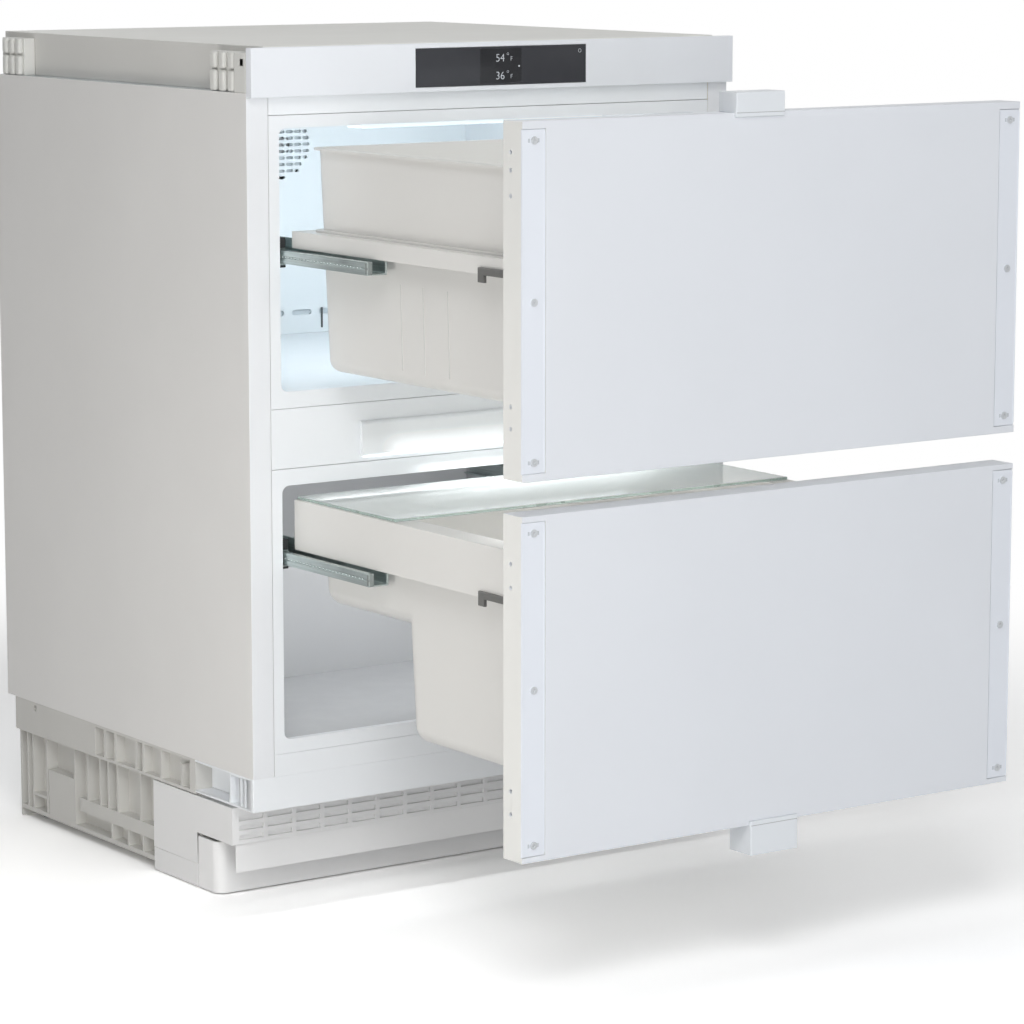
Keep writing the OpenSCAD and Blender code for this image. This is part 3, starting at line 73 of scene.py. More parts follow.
class Shader:
    """A Principled material whose colour, roughness and normal come from textures in object space."""

    def __init__(self, name, rough=0.4, metallic=0.0, **constants):
        self.material = bpy.data.materials.new(name)
        self.material.use_nodes = True
        self.tree = self.material.node_tree
        self.surface = self.tree.nodes["Principled BSDF"]
        self.surface.inputs["Metallic"].default_value = metallic
        self.surface.inputs["Roughness"].default_value = rough
        for socket, value in constants.items():
            self.surface.inputs[socket.replace("_", " ")].default_value = value
        self.coords = self.add("ShaderNodeTexCoord").outputs["Object"]

    def add(self, kind, **settings):
        node = self.tree.nodes.new(kind)
        for key, value in settings.items():
            setattr(node, key, value)
        return node

    def link(self, output, node, socket):
        self.tree.links.new(output, node.inputs[socket])

    def stretched(self, scale):
        """Object coordinates multiplied by a scale along each axis."""
        mapping = self.add("ShaderNodeMapping")
        mapping.inputs["Scale"].default_value = scale
        self.link(self.coords, mapping, "Vector")
        return mapping.outputs["Vector"]

    def noise(self, scale, detail=3.0, stretch=None):
        texture = self.add("ShaderNodeTexNoise")
        texture.inputs["Scale"].default_value = scale
        texture.inputs["Detail"].default_value = detail
        self.link(self.stretched(stretch) if stretch else self.coords, texture, "Vector")
        return texture.outputs["Fac"]

    def cells(self, scale):
        texture = self.add("ShaderNodeTexVoronoi")
        texture.inputs["Scale"].default_value = scale
        self.link(self.coords, texture, "Vector")
        return texture.outputs["Color"]

    def ramp(self, factor, low, high, start=NOISE_LOW, end=NOISE_HIGH):
        """Colours from low to high as the factor goes from start to end."""
        ramp = self.add("ShaderNodeValToRGB")
        ramp.color_ramp.elements[0].position = start
        ramp.color_ramp.elements[1].position = end
        ramp.color_ramp.elements[0].color = low
        ramp.color_ramp.elements[1].color = high
        self.link(factor, ramp, "Fac")
        return ramp.outputs["Color"]

    def map_range(self, factor, start, end, low, high, **settings):
        """A number from low to high as the factor goes from start to end."""
        node = self.add("ShaderNodeMapRange", **settings)
        for socket, value in (("From Min", start), ("From Max", end), ("To Min", low), ("To Max", high)):
            node.inputs[socket].default_value = value
        self.link(factor, node, "Value")
        return node.outputs["Result"]

    def spread(self, factor, low, high):
        """A number from low to high over the usual values of a noise."""
        return self.map_range(factor, NOISE_LOW, NOISE_HIGH, low, high)

    def colour(self, output):
        self.link(output, self.surface, "Base Color")

    def roughness(self, output):
        self.link(output, self.surface, "Roughness")

    def bump(self, height, depth, strength=1.0):
        bump = self.add("ShaderNodeBump")
        bump.inputs["Distance"].default_value = depth
        bump.inputs["Strength"].default_value = strength
        self.link(height, bump, "Height")
        self.link(bump.outputs["Normal"], self.surface, "Normal")


def tinted(hex_colour, gain):
    """Linear colour of a hexadecimal one, made lighter or darker."""
    return tuple(min(1.0, c * gain) for c in linear(hex_colour, False)) + (1.0,)


def painted(name, hex_colour, rough=0.42, shade=0.025, grain=900.0, depth=0.03, patch=7.0, metallic=0.0,
            **constants):
    """Powder coat or moulded plastic: faint tone patches, uneven gloss and a fine skin."""
    shader = Shader(name, rough, metallic, **constants)
    patches = shader.noise(patch, detail=5.0)
    shader.colour(shader.ramp(patches, tinted(hex_colour, 1 - shade), tinted(hex_colour, 1 + shade)))
    shader.roughness(shader.spread(shader.noise(patch * 6, detail=4.0), rough - 0.05, rough + 0.07))
    shader.bump(shader.noise(grain, detail=2.0), depth * MM, strength=0.35)
    return shader.material


def brushed(name, hex_colour, rough=0.32, along=Y, scratch=900.0, shade=0.12, squeeze=0.015):
    """Rolled or ground metal with its lines along one axis."""
    shader = Shader(name, rough, metallic=1.0)
    stretch = [1.0, 1.0, 1.0]
    stretch[along] = squeeze
    lines = shader.noise(scratch, stretch=stretch)
    shader.colour(shader.ramp(lines, tinted(hex_colour, 1 - shade), tinted(hex_colour, 1 + shade)))
    shader.roughness(shader.spread(shader.noise(60.0, detail=4.0), rough - 0.08, rough + 0.12))
    shader.bump(lines, 0.02 * MM, strength=0.5)
    return shader.material


def spangled(name, hex_colour, rough=0.45):
    """Hot-dip zinc: crystal flakes of slightly different tone."""
    shader = Shader(name, rough, metallic=0.9)
    flakes = shader.cells(90.0)
    shader.colour(shader.ramp(flakes, tinted(hex_colour, 0.86), tinted(hex_colour, 1.1), start=0.1, end=0.9))
    shader.roughness(shader.spread(shader.noise(25.0, detail=5.0), rough - 0.08, rough + 0.1))
    shader.bump(shader.noise(400.0), 0.02 * MM, strength=0.4)
    return shader.material


def foamed(name):
    """Rigid yellow foam with small bubbles."""
    shader = Shader(name, rough=0.9)
    bubbles = shader.noise(260.0, detail=6.0)
    shader.colour(shader.ramp(bubbles, linear("#D3BE83"), linear("#F0E2B6")))
    shader.bump(bubbles, 0.6 * MM, strength=0.8)
    return shader.material


def glazed(name):
    """Clear sheet glass with a faint green cast, which shows more of its surface at a flat angle."""
    shader = Shader(name, rough=0.03, IOR=1.5, Specular_IOR_Level=1.0)
    tone = shader.noise(9.0, detail=4.0)
    shader.colour(shader.ramp(tone, linear("#E6EEEC"), linear("#F0F5F4")))
    shader.roughness(shader.spread(shader.noise(30.0, detail=5.0), 0.02, 0.07))
    facing = shader.add("ShaderNodeLayerWeight")
    facing.inputs["Blend"].default_value = 0.25
    face_on, edge_on = 0.1, 0.98
    alpha = shader.map_range(facing.outputs["Facing"], 0.0, 1.0, face_on, edge_on)
    shader.link(alpha, shader.surface, "Alpha")
    return shader.material


def glossy_black(name, hex_colour):
    """Dark glass or polished plastic under a clear coat."""
    shader = Shader(name, rough=0.12, Coat_Weight=0.6, Coat_Roughness=0.05)
    tone = shader.noise(12.0, detail=4.0)
    shader.colour(shader.ramp(tone, tinted(hex_colour, 0.92), tinted(hex_colour, 1.08)))
    shader.roughness(shader.spread(shader.noise(40.0, detail=5.0), 0.09, 0.2))
    return shader.material


def glowing(name, hex_colour, glow, strength, lines=500.0):
    """A ribbed diffuser that gives off light."""
    shader = Shader(name, rough=0.4, Emission_Color=linear(glow), Emission_Strength=strength)
    ribs = shader.noise(lines, detail=2.0, stretch=(1.0, 0.1, 1.0))
    shader.colour(shader.ramp(ribs, tinted(hex_colour, 0.96), tinted(hex_colour, 1.03)))
    shader.bump(ribs, 0.1 * MM, strength=0.5)
    return shader.material


def housing_painted_glow(name, hex_colour, glow_across, glow_upwards):
    """A white housing whose lower part glows, fading out upwards and towards one end. The glow is partly the
    diffuser's own light and partly painted light that lifts the housing out of its shade.

    Each glow is two places on its axis and the strength at each of them.
    """
    shader = Shader(name, rough=0.42, Emission_Color=linear("#FBFDFF"))
    patches = shader.noise(8.0, detail=5.0)
    shader.colour(shader.ramp(patches, tinted(hex_colour, 0.985), tinted(hex_colour, 1.01)))
    split = shader.add("ShaderNodeSeparateXYZ")
    shader.link(shader.coords, split, "Vector")
    glow = shader.add("ShaderNodeMath", operation="MULTIPLY")
    for i, (axis, span) in enumerate((("X", glow_across), ("Z", glow_upwards))):
        part = shader.map_range(split.outputs[axis], *span, interpolation_type="SMOOTHSTEP")
        shader.link(part, glow, i)
    shader.link(glow.outputs["Value"], shader.surface, "Emission Strength")
    return shader.material


def boarded(name, hex_colour):
    """Green circuit board with darker traces."""
    shader = Shader(name, rough=0.35)
    traces = shader.noise(220.0, detail=1.0, stretch=(1.0, 1.0, 0.2))
    shader.colour(shader.ramp(traces, tinted(hex_colour, 0.6), tinted(hex_colour, 1.15), start=0.45, end=0.5))
    shader.bump(traces, 0.1 * MM, strength=0.6)
    return shader.material


# Places in metres on X or Z, and the strength of the housing's glow at each of them; the glow is partly
# painted light.
HOUSING_PAINTED_GLOW_ACROSS = (-0.15, -0.12, 0.2, 1.0)
HOUSING_PAINTED_GLOW_UPWARDS = (0.463, 0.48, 0.42, 0.07)

MATERIALS = {
    "panel_grey": painted("painted_steel", "#E5E4E2", 0.45, 0.015),
    "zinc_sheet": spangled("zinc_sheet", "#B4B8BA"),
    "foam": foamed("insulation_foam"),
    "liner_white": painted("liner_white", "#EFF3F6", 0.36, 0.01),
    "liner_grey": painted("liner_grey", "#C9CBCD", 0.38, 0.02),
    "frame_white": painted("frame_white", "#F4F7FA", 0.42, 0.01),
    # The housing's glow is partly its own light and partly painted light.
    "light_diffuser": housing_painted_glow("diffuser", "#EEF1F3", HOUSING_PAINTED_GLOW_ACROSS, HOUSING_PAINTED_GLOW_UPWARDS),
    "panel_white": painted("control_panel_white", "#F0F3F8", 0.4, 0.012),
    "display_black": glossy_black("display_glass", "#3A3B40"),
    "circuit_board": boarded("circuit_board", "#1E6A45"),
    "cover_white": painted("top_sheet", "#EEEEEA", 0.6, 0.015, Specular_IOR_Level=0.2),
    "block_grey": painted("corner_block", "#DADAD6", 0.55, 0.03, 500.0, 0.08),
    "duct_white": painted("duct_white", "#EBF1F4", 0.38, 0.012),
    "evaporator_fins": brushed("aluminium_fins", "#C9CCCE", 0.4, Z),
    "motor_black": painted("motor_black", "#2B2C2F", 0.5, 0.08, 500.0),
    "fan_plastic": painted("fan_plastic", "#C6C9CC", 0.45, 0.03),
    "rail_steel": brushed("rail_steel", "#BFC9C8", 0.36, Y),
    "damper_black": painted("damper_black", "#2A2C2E", 0.45, 0.08, 500.0),
    "front_white": painted("front_board", "#E3E6EB", 0.48, 0.01, 700.0, 0.04),
    "strip_plastic": painted("strip_plastic", "#E6EAF1", 0.4, 0.012),
    "screw_zinc": painted("screw_zinc", "#D3D6D9", 0.3, 0.04, 600.0, 0.02, metallic=0.35),
    "gasket_white": painted("gasket_rubber", "#D9DBDB", 0.6, 0.03, 400.0, 0.06),
    "fitting_white": painted("fitting_white", "#E4E8EC", 0.42, 0.012),
    "bin_white": painted("bin_white", "#E4E3E0", 0.38, 0.012),
    "catch_grey": painted("catch_grey", "#6B6B69", 0.45, 0.06, 500.0),
    "clear_glass": glazed("clear_glass"),
    "base_grey": painted("base_grey", "#CFCECA", 0.5, 0.03, 450.0, 0.08),
    "grille_white": painted("grille_white", "#ECECEC", 0.42, 0.012),
    "plinth_white": painted("plinth_white", "#F3F3F3", 0.42, 0.012),
    "foot_black": painted("foot_black", "#303133", 0.55, 0.08, 400.0),
    "compressor_black": painted("compressor_black", "#1F2022", 0.35, 0.15, 250.0, 0.08),
    "condenser_black": painted("condenser_black", "#242527", 0.4, 0.1, 300.0),
    "inlet_black": painted("inlet_black", "#1E1E20", 0.4, 0.08, 500.0),
}
LIGHT_PANEL = glowing("cavity_light_glow", "#EAF6FC", "#DFF0F8", 0.7)
LIGHT_STRIP = glowing("divider_light_glow", "#FAFDFF", "#F4FAFF", 0.6)
SCREEN = glossy_black("display_screen", "#26272B")
MARKS = glowing("display_marks", "#B9BDC2", "#DDE2E8", 0.2)
GLASS_EDGE = painted("glass_edge", "#CFE0DA", 0.3, 0.04, Transmission_Weight=0.3)
# Dark grey that paints the shade inside the drain opening at the foot of the rear wall.
DRAIN_PAINTED_SHADE = painted("drain_painted_shade", "#55585B", 0.6, 0.05)
BALLS = brushed("rail_balls", "#C4CACA", 0.18, Y)
NOSE = painted("rail_nose", "#8C9391", 0.4, 0.05)
THREAD = brushed("thread_zinc", "#A9ADB0", 0.35, Z)
# Grey of the cavity's temperature sensor, which also serves as painted shade for the slots in the corner
# blocks.
SENSOR_GREY_AND_SLOT_SHADE = painted("sensor_grey_and_slot_shade", "#8F969A", 0.45, 0.04)
# Lighter, cooler copy of the side panels' paint: painted light on their front-facing flanges.
FLANGE_PAINTED_LIGHT = painted("flange_painted_light", "#EFF1F4", 0.42, 0.01)
# Darker copy of the top sheet's colour: painted shade on the top cover's sides.
COVER_SIDE_PAINTED_SHADE = painted("top_sheet_side_painted_shade", "#D9D8D4", 0.42, 0.015)
BOARD_EDGE = painted("board_edge", "#E6E6E3", 0.5, 0.012, 700.0, 0.05)
# Pale plates behind the rear wall's air slots: painted light where the slots would show shade.
FAN_SLOT_PAINTED_LIGHT = painted("fan_slot_painted_light", "#C4CCD1", 0.5, 0.03)
RETURN_SLOT_PAINTED_LIGHT = painted("return_slot_painted_light", "#DDE6EB", 0.5, 0.03)
# Pale plate behind the grille's louvres: painted light where the louvres would show shade.
LOUVRE_PAINTED_LIGHT = painted("louvre_painted_light", "#F0F0F0", 0.5, 0.03)
STRIP_MARK = painted("strip_mark", "#C3C7CC", 0.5, 0.03)
# Darker grey for the fine ribs on the upper bin's sides: painted shade.
BIN_RIB_PAINTED_SHADE = painted("bin_line", "#CBCBC8", 0.5, 0.02)
SEAM_PAINTED_SHADE = painted("seam_shadow", "#B4B6B8", 0.6, 0.03)


# ---- Mesh building ----
# In degrees: an edge that turns by less isn't rounded, and faces that turn by less are joined.
EDGE_ANGLE = 35
FLAT_ANGLE = 0.6
WELD = 0.002 * MM


def piece(name, mesh, material, body, angle=40.0):
    """A shown object on a body, shaded smooth up to an edge angle, with large faces kept flat."""
    if isinstance(mesh, bmesh.types.BMesh):
        source = mesh
        mesh = bpy.data.meshes.new(name)
        source.to_mesh(mesh)
        source.free()
    obj = bpy.data.objects.new(name, mesh)
    bpy.context.scene.collection.objects.link(obj)
    mesh.materials.clear()
    mesh.materials.append(material)
    mesh.shade_smooth()
    mesh.set_sharp_from_angle(angle=math.radians(angle))
    weighted = obj.modifiers.new("flat_faces", "WEIGHTED_NORMAL")
    weighted.keep_sharp = True
    weighted.weight = 100
    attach(obj, body)
    return obj


def round_edges(bm, width, longer=8 * MM, segments=3, keep=None):
    """Rounds every real edge that is longer than a limit."""
    edges = []
    for edge in bm.edges:
        if len(edge.link_faces) != 2 or edge.calc_length() < longer:
            continue
        if edge.calc_face_angle(0.0) < math.radians(EDGE_ANGLE):
            continue
        if keep is None or keep(edge):
            edges.append(edge)
    bmesh.ops.bevel(bm, geom=edges, offset=width, segments=segments, profile=0.5,
                    affect="EDGES", clamp_overlap=True)


def node_mesh(node):
    """A welded copy of a node's mesh with its flat faces joined."""
    bm = bmesh.new()
    bm.from_mesh(NODES[node].data)
    bmesh.ops.remove_doubles(bm, verts=bm.verts, dist=WELD)
    bmesh.ops.dissolve_limit(bm, angle_limit=math.radians(FLAT_ANGLE), verts=bm.verts, edges=bm.edges)
    return bm


def dress(node, width, longer=8 * MM, segments=3, keep=None, angle=40.0):
    """Replaces a node by its own shape with rounded edges."""
    bm = node_mesh(node)
    round_edges(bm, width, longer, segments, keep)
    obj = piece(node + "_skin", bm, MATERIALS[SLOT_OF[node]], BODY_OF[node], angle)
    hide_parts(node)
    return obj


def face_tone(obj, material, axis, side=None):
    """Gives the faces that look along an axis, or along one side of it, a second material."""
    least_reach = 0.8
    obj.data.materials.append(material)
    for face in obj.data.polygons:
        reach = face.normal[axis] * side if side else abs(face.normal[axis])
        if reach > least_reach:
            face.material_index = 1


def add_slab(bm, first, second, width=0.0, segments=3):
    """Adds a box with rounded edges to a mesh, between two opposite corners."""
    low = Vector([min(p, q) for p, q in zip(first, second)])
    high = Vector([max(p, q) for p, q in zip(first, second)])
    made = bmesh.ops.create_cube(bm, size=1.0)["verts"]
    bmesh.ops.scale(bm, vec=high - low, verts=made)
    bmesh.ops.translate(bm, vec=(low + high) / 2, verts=made)
    if width:
        edges = list({edge for vert in made for edge in vert.link_edges})
        bmesh.ops.bevel(bm, geom=edges, offset=width, segments=segments, profile=0.5,
                        affect="EDGES", clamp_overlap=True)


def add_bar(bm, start, end, radius, sides=16, cap=0.0):
    """Adds a round bar between two points, with chamfered ends where cap is given."""
    start, end = Vector(start), Vector(end)
    along = (end - start).normalized()
    length = (end - start).length
    rings = [(0.0, radius), (length, radius)]
    if cap:
        rings = [(0.0, radius - cap), (cap, radius), (length - cap, radius), (length, radius - cap)]
    turn = along.to_track_quat("Z", "Y").to_matrix()
    loops = []
    for height, r in rings:
        points = [Vector((r * math.cos(a), r * math.sin(a), height))
                  for a in (math.tau * i / sides for i in range(sides))]
        loops.append([bm.verts.new(start + turn @ p) for p in points])
    for a, b in zip(loops, loops[1:]):
        for i in range(sides):
            j = (i + 1) % sides
            bm.faces.new((a[i], a[j], b[j], b[i]))
    bm.faces.new(reversed(loops[0]))
    bm.faces.new(loops[-1])


def add_tube(bm, points, radius, sides=12):
    """Adds a tube along points."""
    nearly_parallel = 0.95
    points = [Vector(p) for p in points]
    loops = []
    side = Vector((0, 0, 1))
    for i, point in enumerate(points):
        ahead = points[min(i + 1, len(points) - 1)] - points[max(i - 1, 0)]
        ahead.normalize()
        if abs(ahead.dot(side)) > nearly_parallel:
            side = ahead.orthogonal()
        across = ahead.cross(side).normalized()
        side = across.cross(ahead).normalized()
        loops.append([bm.verts.new(point + radius * (math.cos(a) * across + math.sin(a) * side))
                      for a in (math.tau * k / sides for k in range(sides))])
    for a, b in zip(loops, loops[1:]):
        for k in range(sides):
            j = (k + 1) % sides
            bm.faces.new((a[k], a[j], b[j], b[k]))
    bm.faces.new(reversed(loops[0]))
    bm.faces.new(loops[-1])


def add_prism(bm, outline, axis, low, high):
    """Adds an outline extruded along an axis. The outline is in the other two axes, in their order."""
    others = [i for i in range(3) if i != axis]

    def place(point, height):
        at = [0.0, 0.0, 0.0]
        at[others[0]], at[others[1]], at[axis] = point[0], point[1], height
        return bm.verts.new(at)

    first = [place(p, low) for p in outline]
    last = [place(p, high) for p in outline]
    count = len(outline)
    faces = [bm.faces.new(first), bm.faces.new(last)]
    for i in range(count):
        j = (i + 1) % count
        faces.append(bm.faces.new((first[i], first[j], last[j], last[i])))
    bmesh.ops.recalc_face_normals(bm, faces=faces)


def arc(centre, radius, start, end, count):
    """Points of an arc in degrees."""
    return [(centre[0] + radius * math.cos(math.radians(start + (end - start) * i / count)),
             centre[1] + radius * math.sin(math.radians(start + (end - start) * i / count)))
            for i in range(count + 1)]


def words(name, body_text, size, at, material, body, thickness=0.12 * MM, thinner=0.013):
    """Flat characters that face the front, centred on a point, with strokes made slightly thinner."""
    curve = bpy.data.curves.new(name, "FONT")
    curve.body = body_text
    curve.size = size
    curve.extrude = thickness / 2
    curve.offset = -size * thinner
    curve.align_x = "CENTER"
    curve.align_y = "CENTER"
    curve.resolution_u = 4
    holder = bpy.data.objects.new(name + "_curve", curve)
    bpy.context.scene.collection.objects.link(holder)
    bpy.context.view_layer.update()
    graph = bpy.context.evaluated_depsgraph_get()
    mesh = bpy.data.meshes.new_from_object(holder.evaluated_get(graph))
    bpy.data.objects.remove(holder)
    bm = bmesh.new()
    bm.from_mesh(mesh)
    bmesh.ops.remove_doubles(bm, verts=bm.verts, dist=0.01 * MM)
    upright = Matrix.Rotation(math.radians(90), 3, "X")
    bmesh.ops.rotate(bm, cent=(0, 0, 0), matrix=upright, verts=bm.verts)
    bmesh.ops.translate(bm, vec=at, verts=bm.verts)
    return piece(name, bm, material, body)


# ---- Cabinet ----
def cabinet_shell():
    for node in ("side_panel_left", "side_panel_right"):
        # Faces of the side panels that look to the front take the lighter copy of the paint: painted light.
        face_tone(dress(node, 0.9 * MM, 30 * MM), FLANGE_PAINTED_LIGHT, Y, side=-1)
    dress("rear_roof_panel", 0.4 * MM, 30 * MM)
    dress("underside_panel", 0.4 * MM, 30 * MM)
    # The top cover's sides take the darker copy of its colour: painted shade.
    face_tone(dress("top_cover", 1.6 * MM, 30 * MM, keep=outside_of_top_cover), COVER_SIDE_PAINTED_SHADE, X)
    dress("rear_cover", 0.3 * MM, 30 * MM)
    rear_beads()
    rear_screws()


def outside_of_top_cover(edge):
    """True for the edges round the top cover's upper face and at its two sides."""
    low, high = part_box("top_cover")
    middle = (edge.verts[0].co + edge.verts[1].co) / 2
    margin = 0.5 * MM
    return middle.z > high.z - margin or min(middle.x - low.x, high.x - middle.x) < margin


def rear_beads():
    """Pressed stiffening beads on the rear sheet."""
    low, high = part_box("rear_roof_panel")
    bm = bmesh.new()
    bead_r = 5 * MM
    proud = 1.5 * MM
    pitch = 95 * MM
    end_gap = 40 * MM
    for i in range(-2, 3):
        outline = arc((i * pitch, high.y - bead_r + proud), bead_r, start=45, end=135, count=8)
        add_prism(bm, outline, Z, low.z + end_gap, high.z - end_gap)
    piece("rear_beads", bm, MATERIALS["zinc_sheet"], "cabinet")


def rear_screws():
    """Pan-head screws along the rear flanges and at the rear cover's corners."""
    low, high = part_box("rear_cover")
    panel_low, panel_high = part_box("side_panel_left")
    bm = bmesh.new()
    head_r = 4 * MM
    head_t = 2 * MM
    head_edge = 0.7 * MM
    flange_inset = 7 * MM
    flange_gap = 30 * MM
    count = 7
    pitch = (panel_high.z - panel_low.z - 2 * flange_gap) / (count - 1)
    cover_inset = 12 * MM
    cover_foot = 10 * MM
    for side in SIDES:
        flange_x = side * (abs(panel_low.x) - flange_inset)
        cover_x = side * (high.x - cover_inset)
        places = [(flange_x, panel_low.z + flange_gap + i * pitch) for i in range(count)]
        places += [(cover_x, low.z + cover_foot), (cover_x, high.z - cover_inset)]
        for x, z in places:
            add_bar(bm, (x, high.y, z), (x, high.y + head_t, z), head_r, 20, head_edge)
    piece("rear_screws", bm, MATERIALS["screw_zinc"], "cabinet")


def corner_blocks():
    """Moulded blocks on the roof: a flat part and three rounded ribs, split by a line half way up."""
    low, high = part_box("corner_blocks")
    cover_low, cover_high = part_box("top_cover")
    front_l = 73 * MM
    rear_l = 50 * MM
    cover_gap = 0.3 * MM
    recess = 5.5 * MM
    edge = 1.0 * MM
    ribs = 3
    rib_share = 0.68
    rib_round = 0.3
    line = 0.8 * MM
    middle = low.z + (high.z - low.z) * 0.56
    halves = ((low.z, middle - line), (middle + line, high.z))
    depth = cover_low.x - cover_gap - low.x
    # Where a block starts and how long it is, and how much of it is flat at which end.
    spans = {"front": (low.y, front_l, 0.30, -1), "rear": (high.y - rear_l, rear_l, 0.12, 1)}
    for place, (y0, length, flat_share, flat_end) in spans.items():
        flat = length * flat_share
        pitch = (length - flat) / ribs
        start = y0 + flat if flat_end < 0 else y0
        for side in SIDES:
            bm = bmesh.new()
            outer = side * abs(low.x)
            back = outer - side * depth
            inner = outer - side * recess
            add_slab(bm, (back, y0, low.z), (inner, y0 + length, high.z), edge)
            if place == "front":
                add_slab(bm, (back, y0, low.z), (outer, y0 + flat, high.z), edge)
            for i in range(ribs):
                centre = start + (i + 0.5) * pitch
                width = pitch * rib_share
                for z0, z1 in halves:
                    add_slab(bm, (inner - side * edge, centre - width / 2, z0),
                             (outer, centre + width / 2, z1), width * rib_round, 4)
            name = f"corner_block_{place}_{'left' if side < 0 else 'right'}"
            block = piece(name, bm, MATERIALS["block_grey"], "cabinet", 50)
            if place == "front" and side < 0:
                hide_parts("corner_blocks")
    corner_block_slot_shade(low, high)


def corner_block_slot_shade(low, high):
    """Small upright slot near the front end of each front block, drawn as a grey patch of painted shade."""
    depth = 1 * MM
    slot_y = (low.y + 4 * MM, low.y + 10 * MM)
    slot_z = (high.z - 13 * MM, high.z - 6 * MM)
    slots = bmesh.new()
    for side in SIDES:
        x = side * abs(low.x)
        add_slab(slots, (x - side * depth, slot_y[0], slot_z[0]), (x, slot_y[1], slot_z[1]), 0.1 * MM)
    piece("corner_block_slot_shade", slots, SENSOR_GREY_AND_SLOT_SHADE, "cabinet")


def cabinet_face():
    for node in ("upper_frame", "lower_frame", "top_rail", "divider_cover"):
        dress(node, 0.5 * MM, 12 * MM)
    dress("bottom_cover", 0.6 * MM, 30 * MM)
    light_housing()


def light_housing():
    """Raised housing on the divider cover, whose glow is partly painted light and whose ends stay plain
    white, and the lit strip along its lower edge.
    """
    low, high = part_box("divider_light")
    bm = node_mesh("divider_light")
    round_edges(bm, 1.2 * MM, 8 * MM)
    slot = "light_diffuser"
    housing = piece("divider_light_housing", bm, MATERIALS[slot], "cabinet")
    # The housing's ends take plain frame white, so only its front carries the painted glow.
    face_tone(housing, MATERIALS["frame_white"], X)
    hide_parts("divider_light")
    strip = bmesh.new()
    end_gap = 3 * MM
    setback = 0.8 * MM
    below, above = 1.2 * MM, 0.5 * MM
    add_slab(strip, (low.x + end_gap, low.y + setback, low.z - below),
             (high.x - end_gap, high.y, low.z + above), 0.4 * MM)
    piece("divider_light_strip", strip, LIGHT_STRIP, "cabinet")


def control_panel():
    """Control panel with its display glass, a darker screen, two numbers and small signs."""
    dress("header_housing", 0.8 * MM, 20 * MM)
    dress("display_glass", 0.25 * MM, 8 * MM)
    low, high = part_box("display_glass")
    face = low.y
    proud = 0.12 * MM
    screen_x = (-27 * MM, 24 * MM)
    screen_inset = 2 * MM
    screen = bmesh.new()
    add_slab(screen, (screen_x[0], face - proud / 2, low.z + screen_inset),
             (screen_x[1], face + 0.3 * MM, high.z - screen_inset), 0.04 * MM)
    piece("display_screen", screen, SCREEN, "cabinet")
    y = face - proud
    number_x, number_size = -2.5 * MM, 11.5 * MM
    unit_x, unit_size, unit_drop = 11.5 * MM, 6.4 * MM, 0.8 * MM
    lower_z = low.z + 9.05 * MM
    upper_z = lower_z + 18 * MM
    for name, text, z in (("upper", "54", upper_z), ("lower", "36", lower_z)):
        words(f"display_number_{name}", text, number_size, (number_x, y, z), MARKS,
              "cabinet")
        words(f"display_unit_{name}", "F", unit_size, (unit_x, y, z - unit_drop), MARKS,
              "cabinet")
    marks = bmesh.new()
    degree_x, degree_lift = 7.0 * MM, 4.3 * MM
    for z in (upper_z, lower_z):
        add_ring(marks, (degree_x, y, z + degree_lift), 1.1 * MM, 0.35 * MM)
    dot_x, dot_z = 21 * MM, low.z + 18.75 * MM
    add_bar(marks, (dot_x, y - 0.05 * MM, dot_z), (dot_x, face + 0.2 * MM, dot_z), 0.9 * MM, 24)
    corner_x, corner_z = high.x - 8 * MM, high.z - 6.25 * MM
    add_ring(marks, (corner_x, y, corner_z), 1.8 * MM, 0.4 * MM)
    piece("display_signs", marks, MARKS, "cabinet")


def add_ring(bm, centre, radius, wire, sides=28):
    """Adds a small ring that faces the front."""
    points = [(centre[0] + radius * math.cos(a), centre[1], centre[2] + radius * math.sin(a))
              for a in (math.tau * i / sides for i in range(sides + 1))]
    add_tube(bm, points, wire / 2, 6)


# ---- Cavities ----
def cavities():
    dress("upper_liner", 1.0 * MM, 60 * MM, angle=30)
    dress("lower_liner", 1.0 * MM, 60 * MM, angle=30)
    dress("duct_cover", 0.5 * MM, 3 * MM, segments=2, angle=50)
    panel = dress("cavity_light", 0.8 * MM)
    panel.data.materials.clear()
    panel.data.materials.append(LIGHT_PANEL)
    rear_wall_seam()
    duct_slot_light_plates()
    grille_light_plate()
    sensor()


def rear_wall_seam():
    """Seam across the rear wall, at the top edge of the air duct's lower plate."""
    low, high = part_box("duct_cover")
    seam_z = low.z + 86.8 * MM
    seam_t = 1.6 * MM
    lip = 1.2 * MM
    side_gap = 8 * MM
    bm = bmesh.new()
    add_slab(bm, (low.x + side_gap, low.y - lip, seam_z - seam_t),
             (high.x - side_gap, low.y + 0.5 * MM, seam_z), 0.5 * MM)
    piece("rear_wall_seam", bm, MATERIALS["duct_white"], "cabinet")


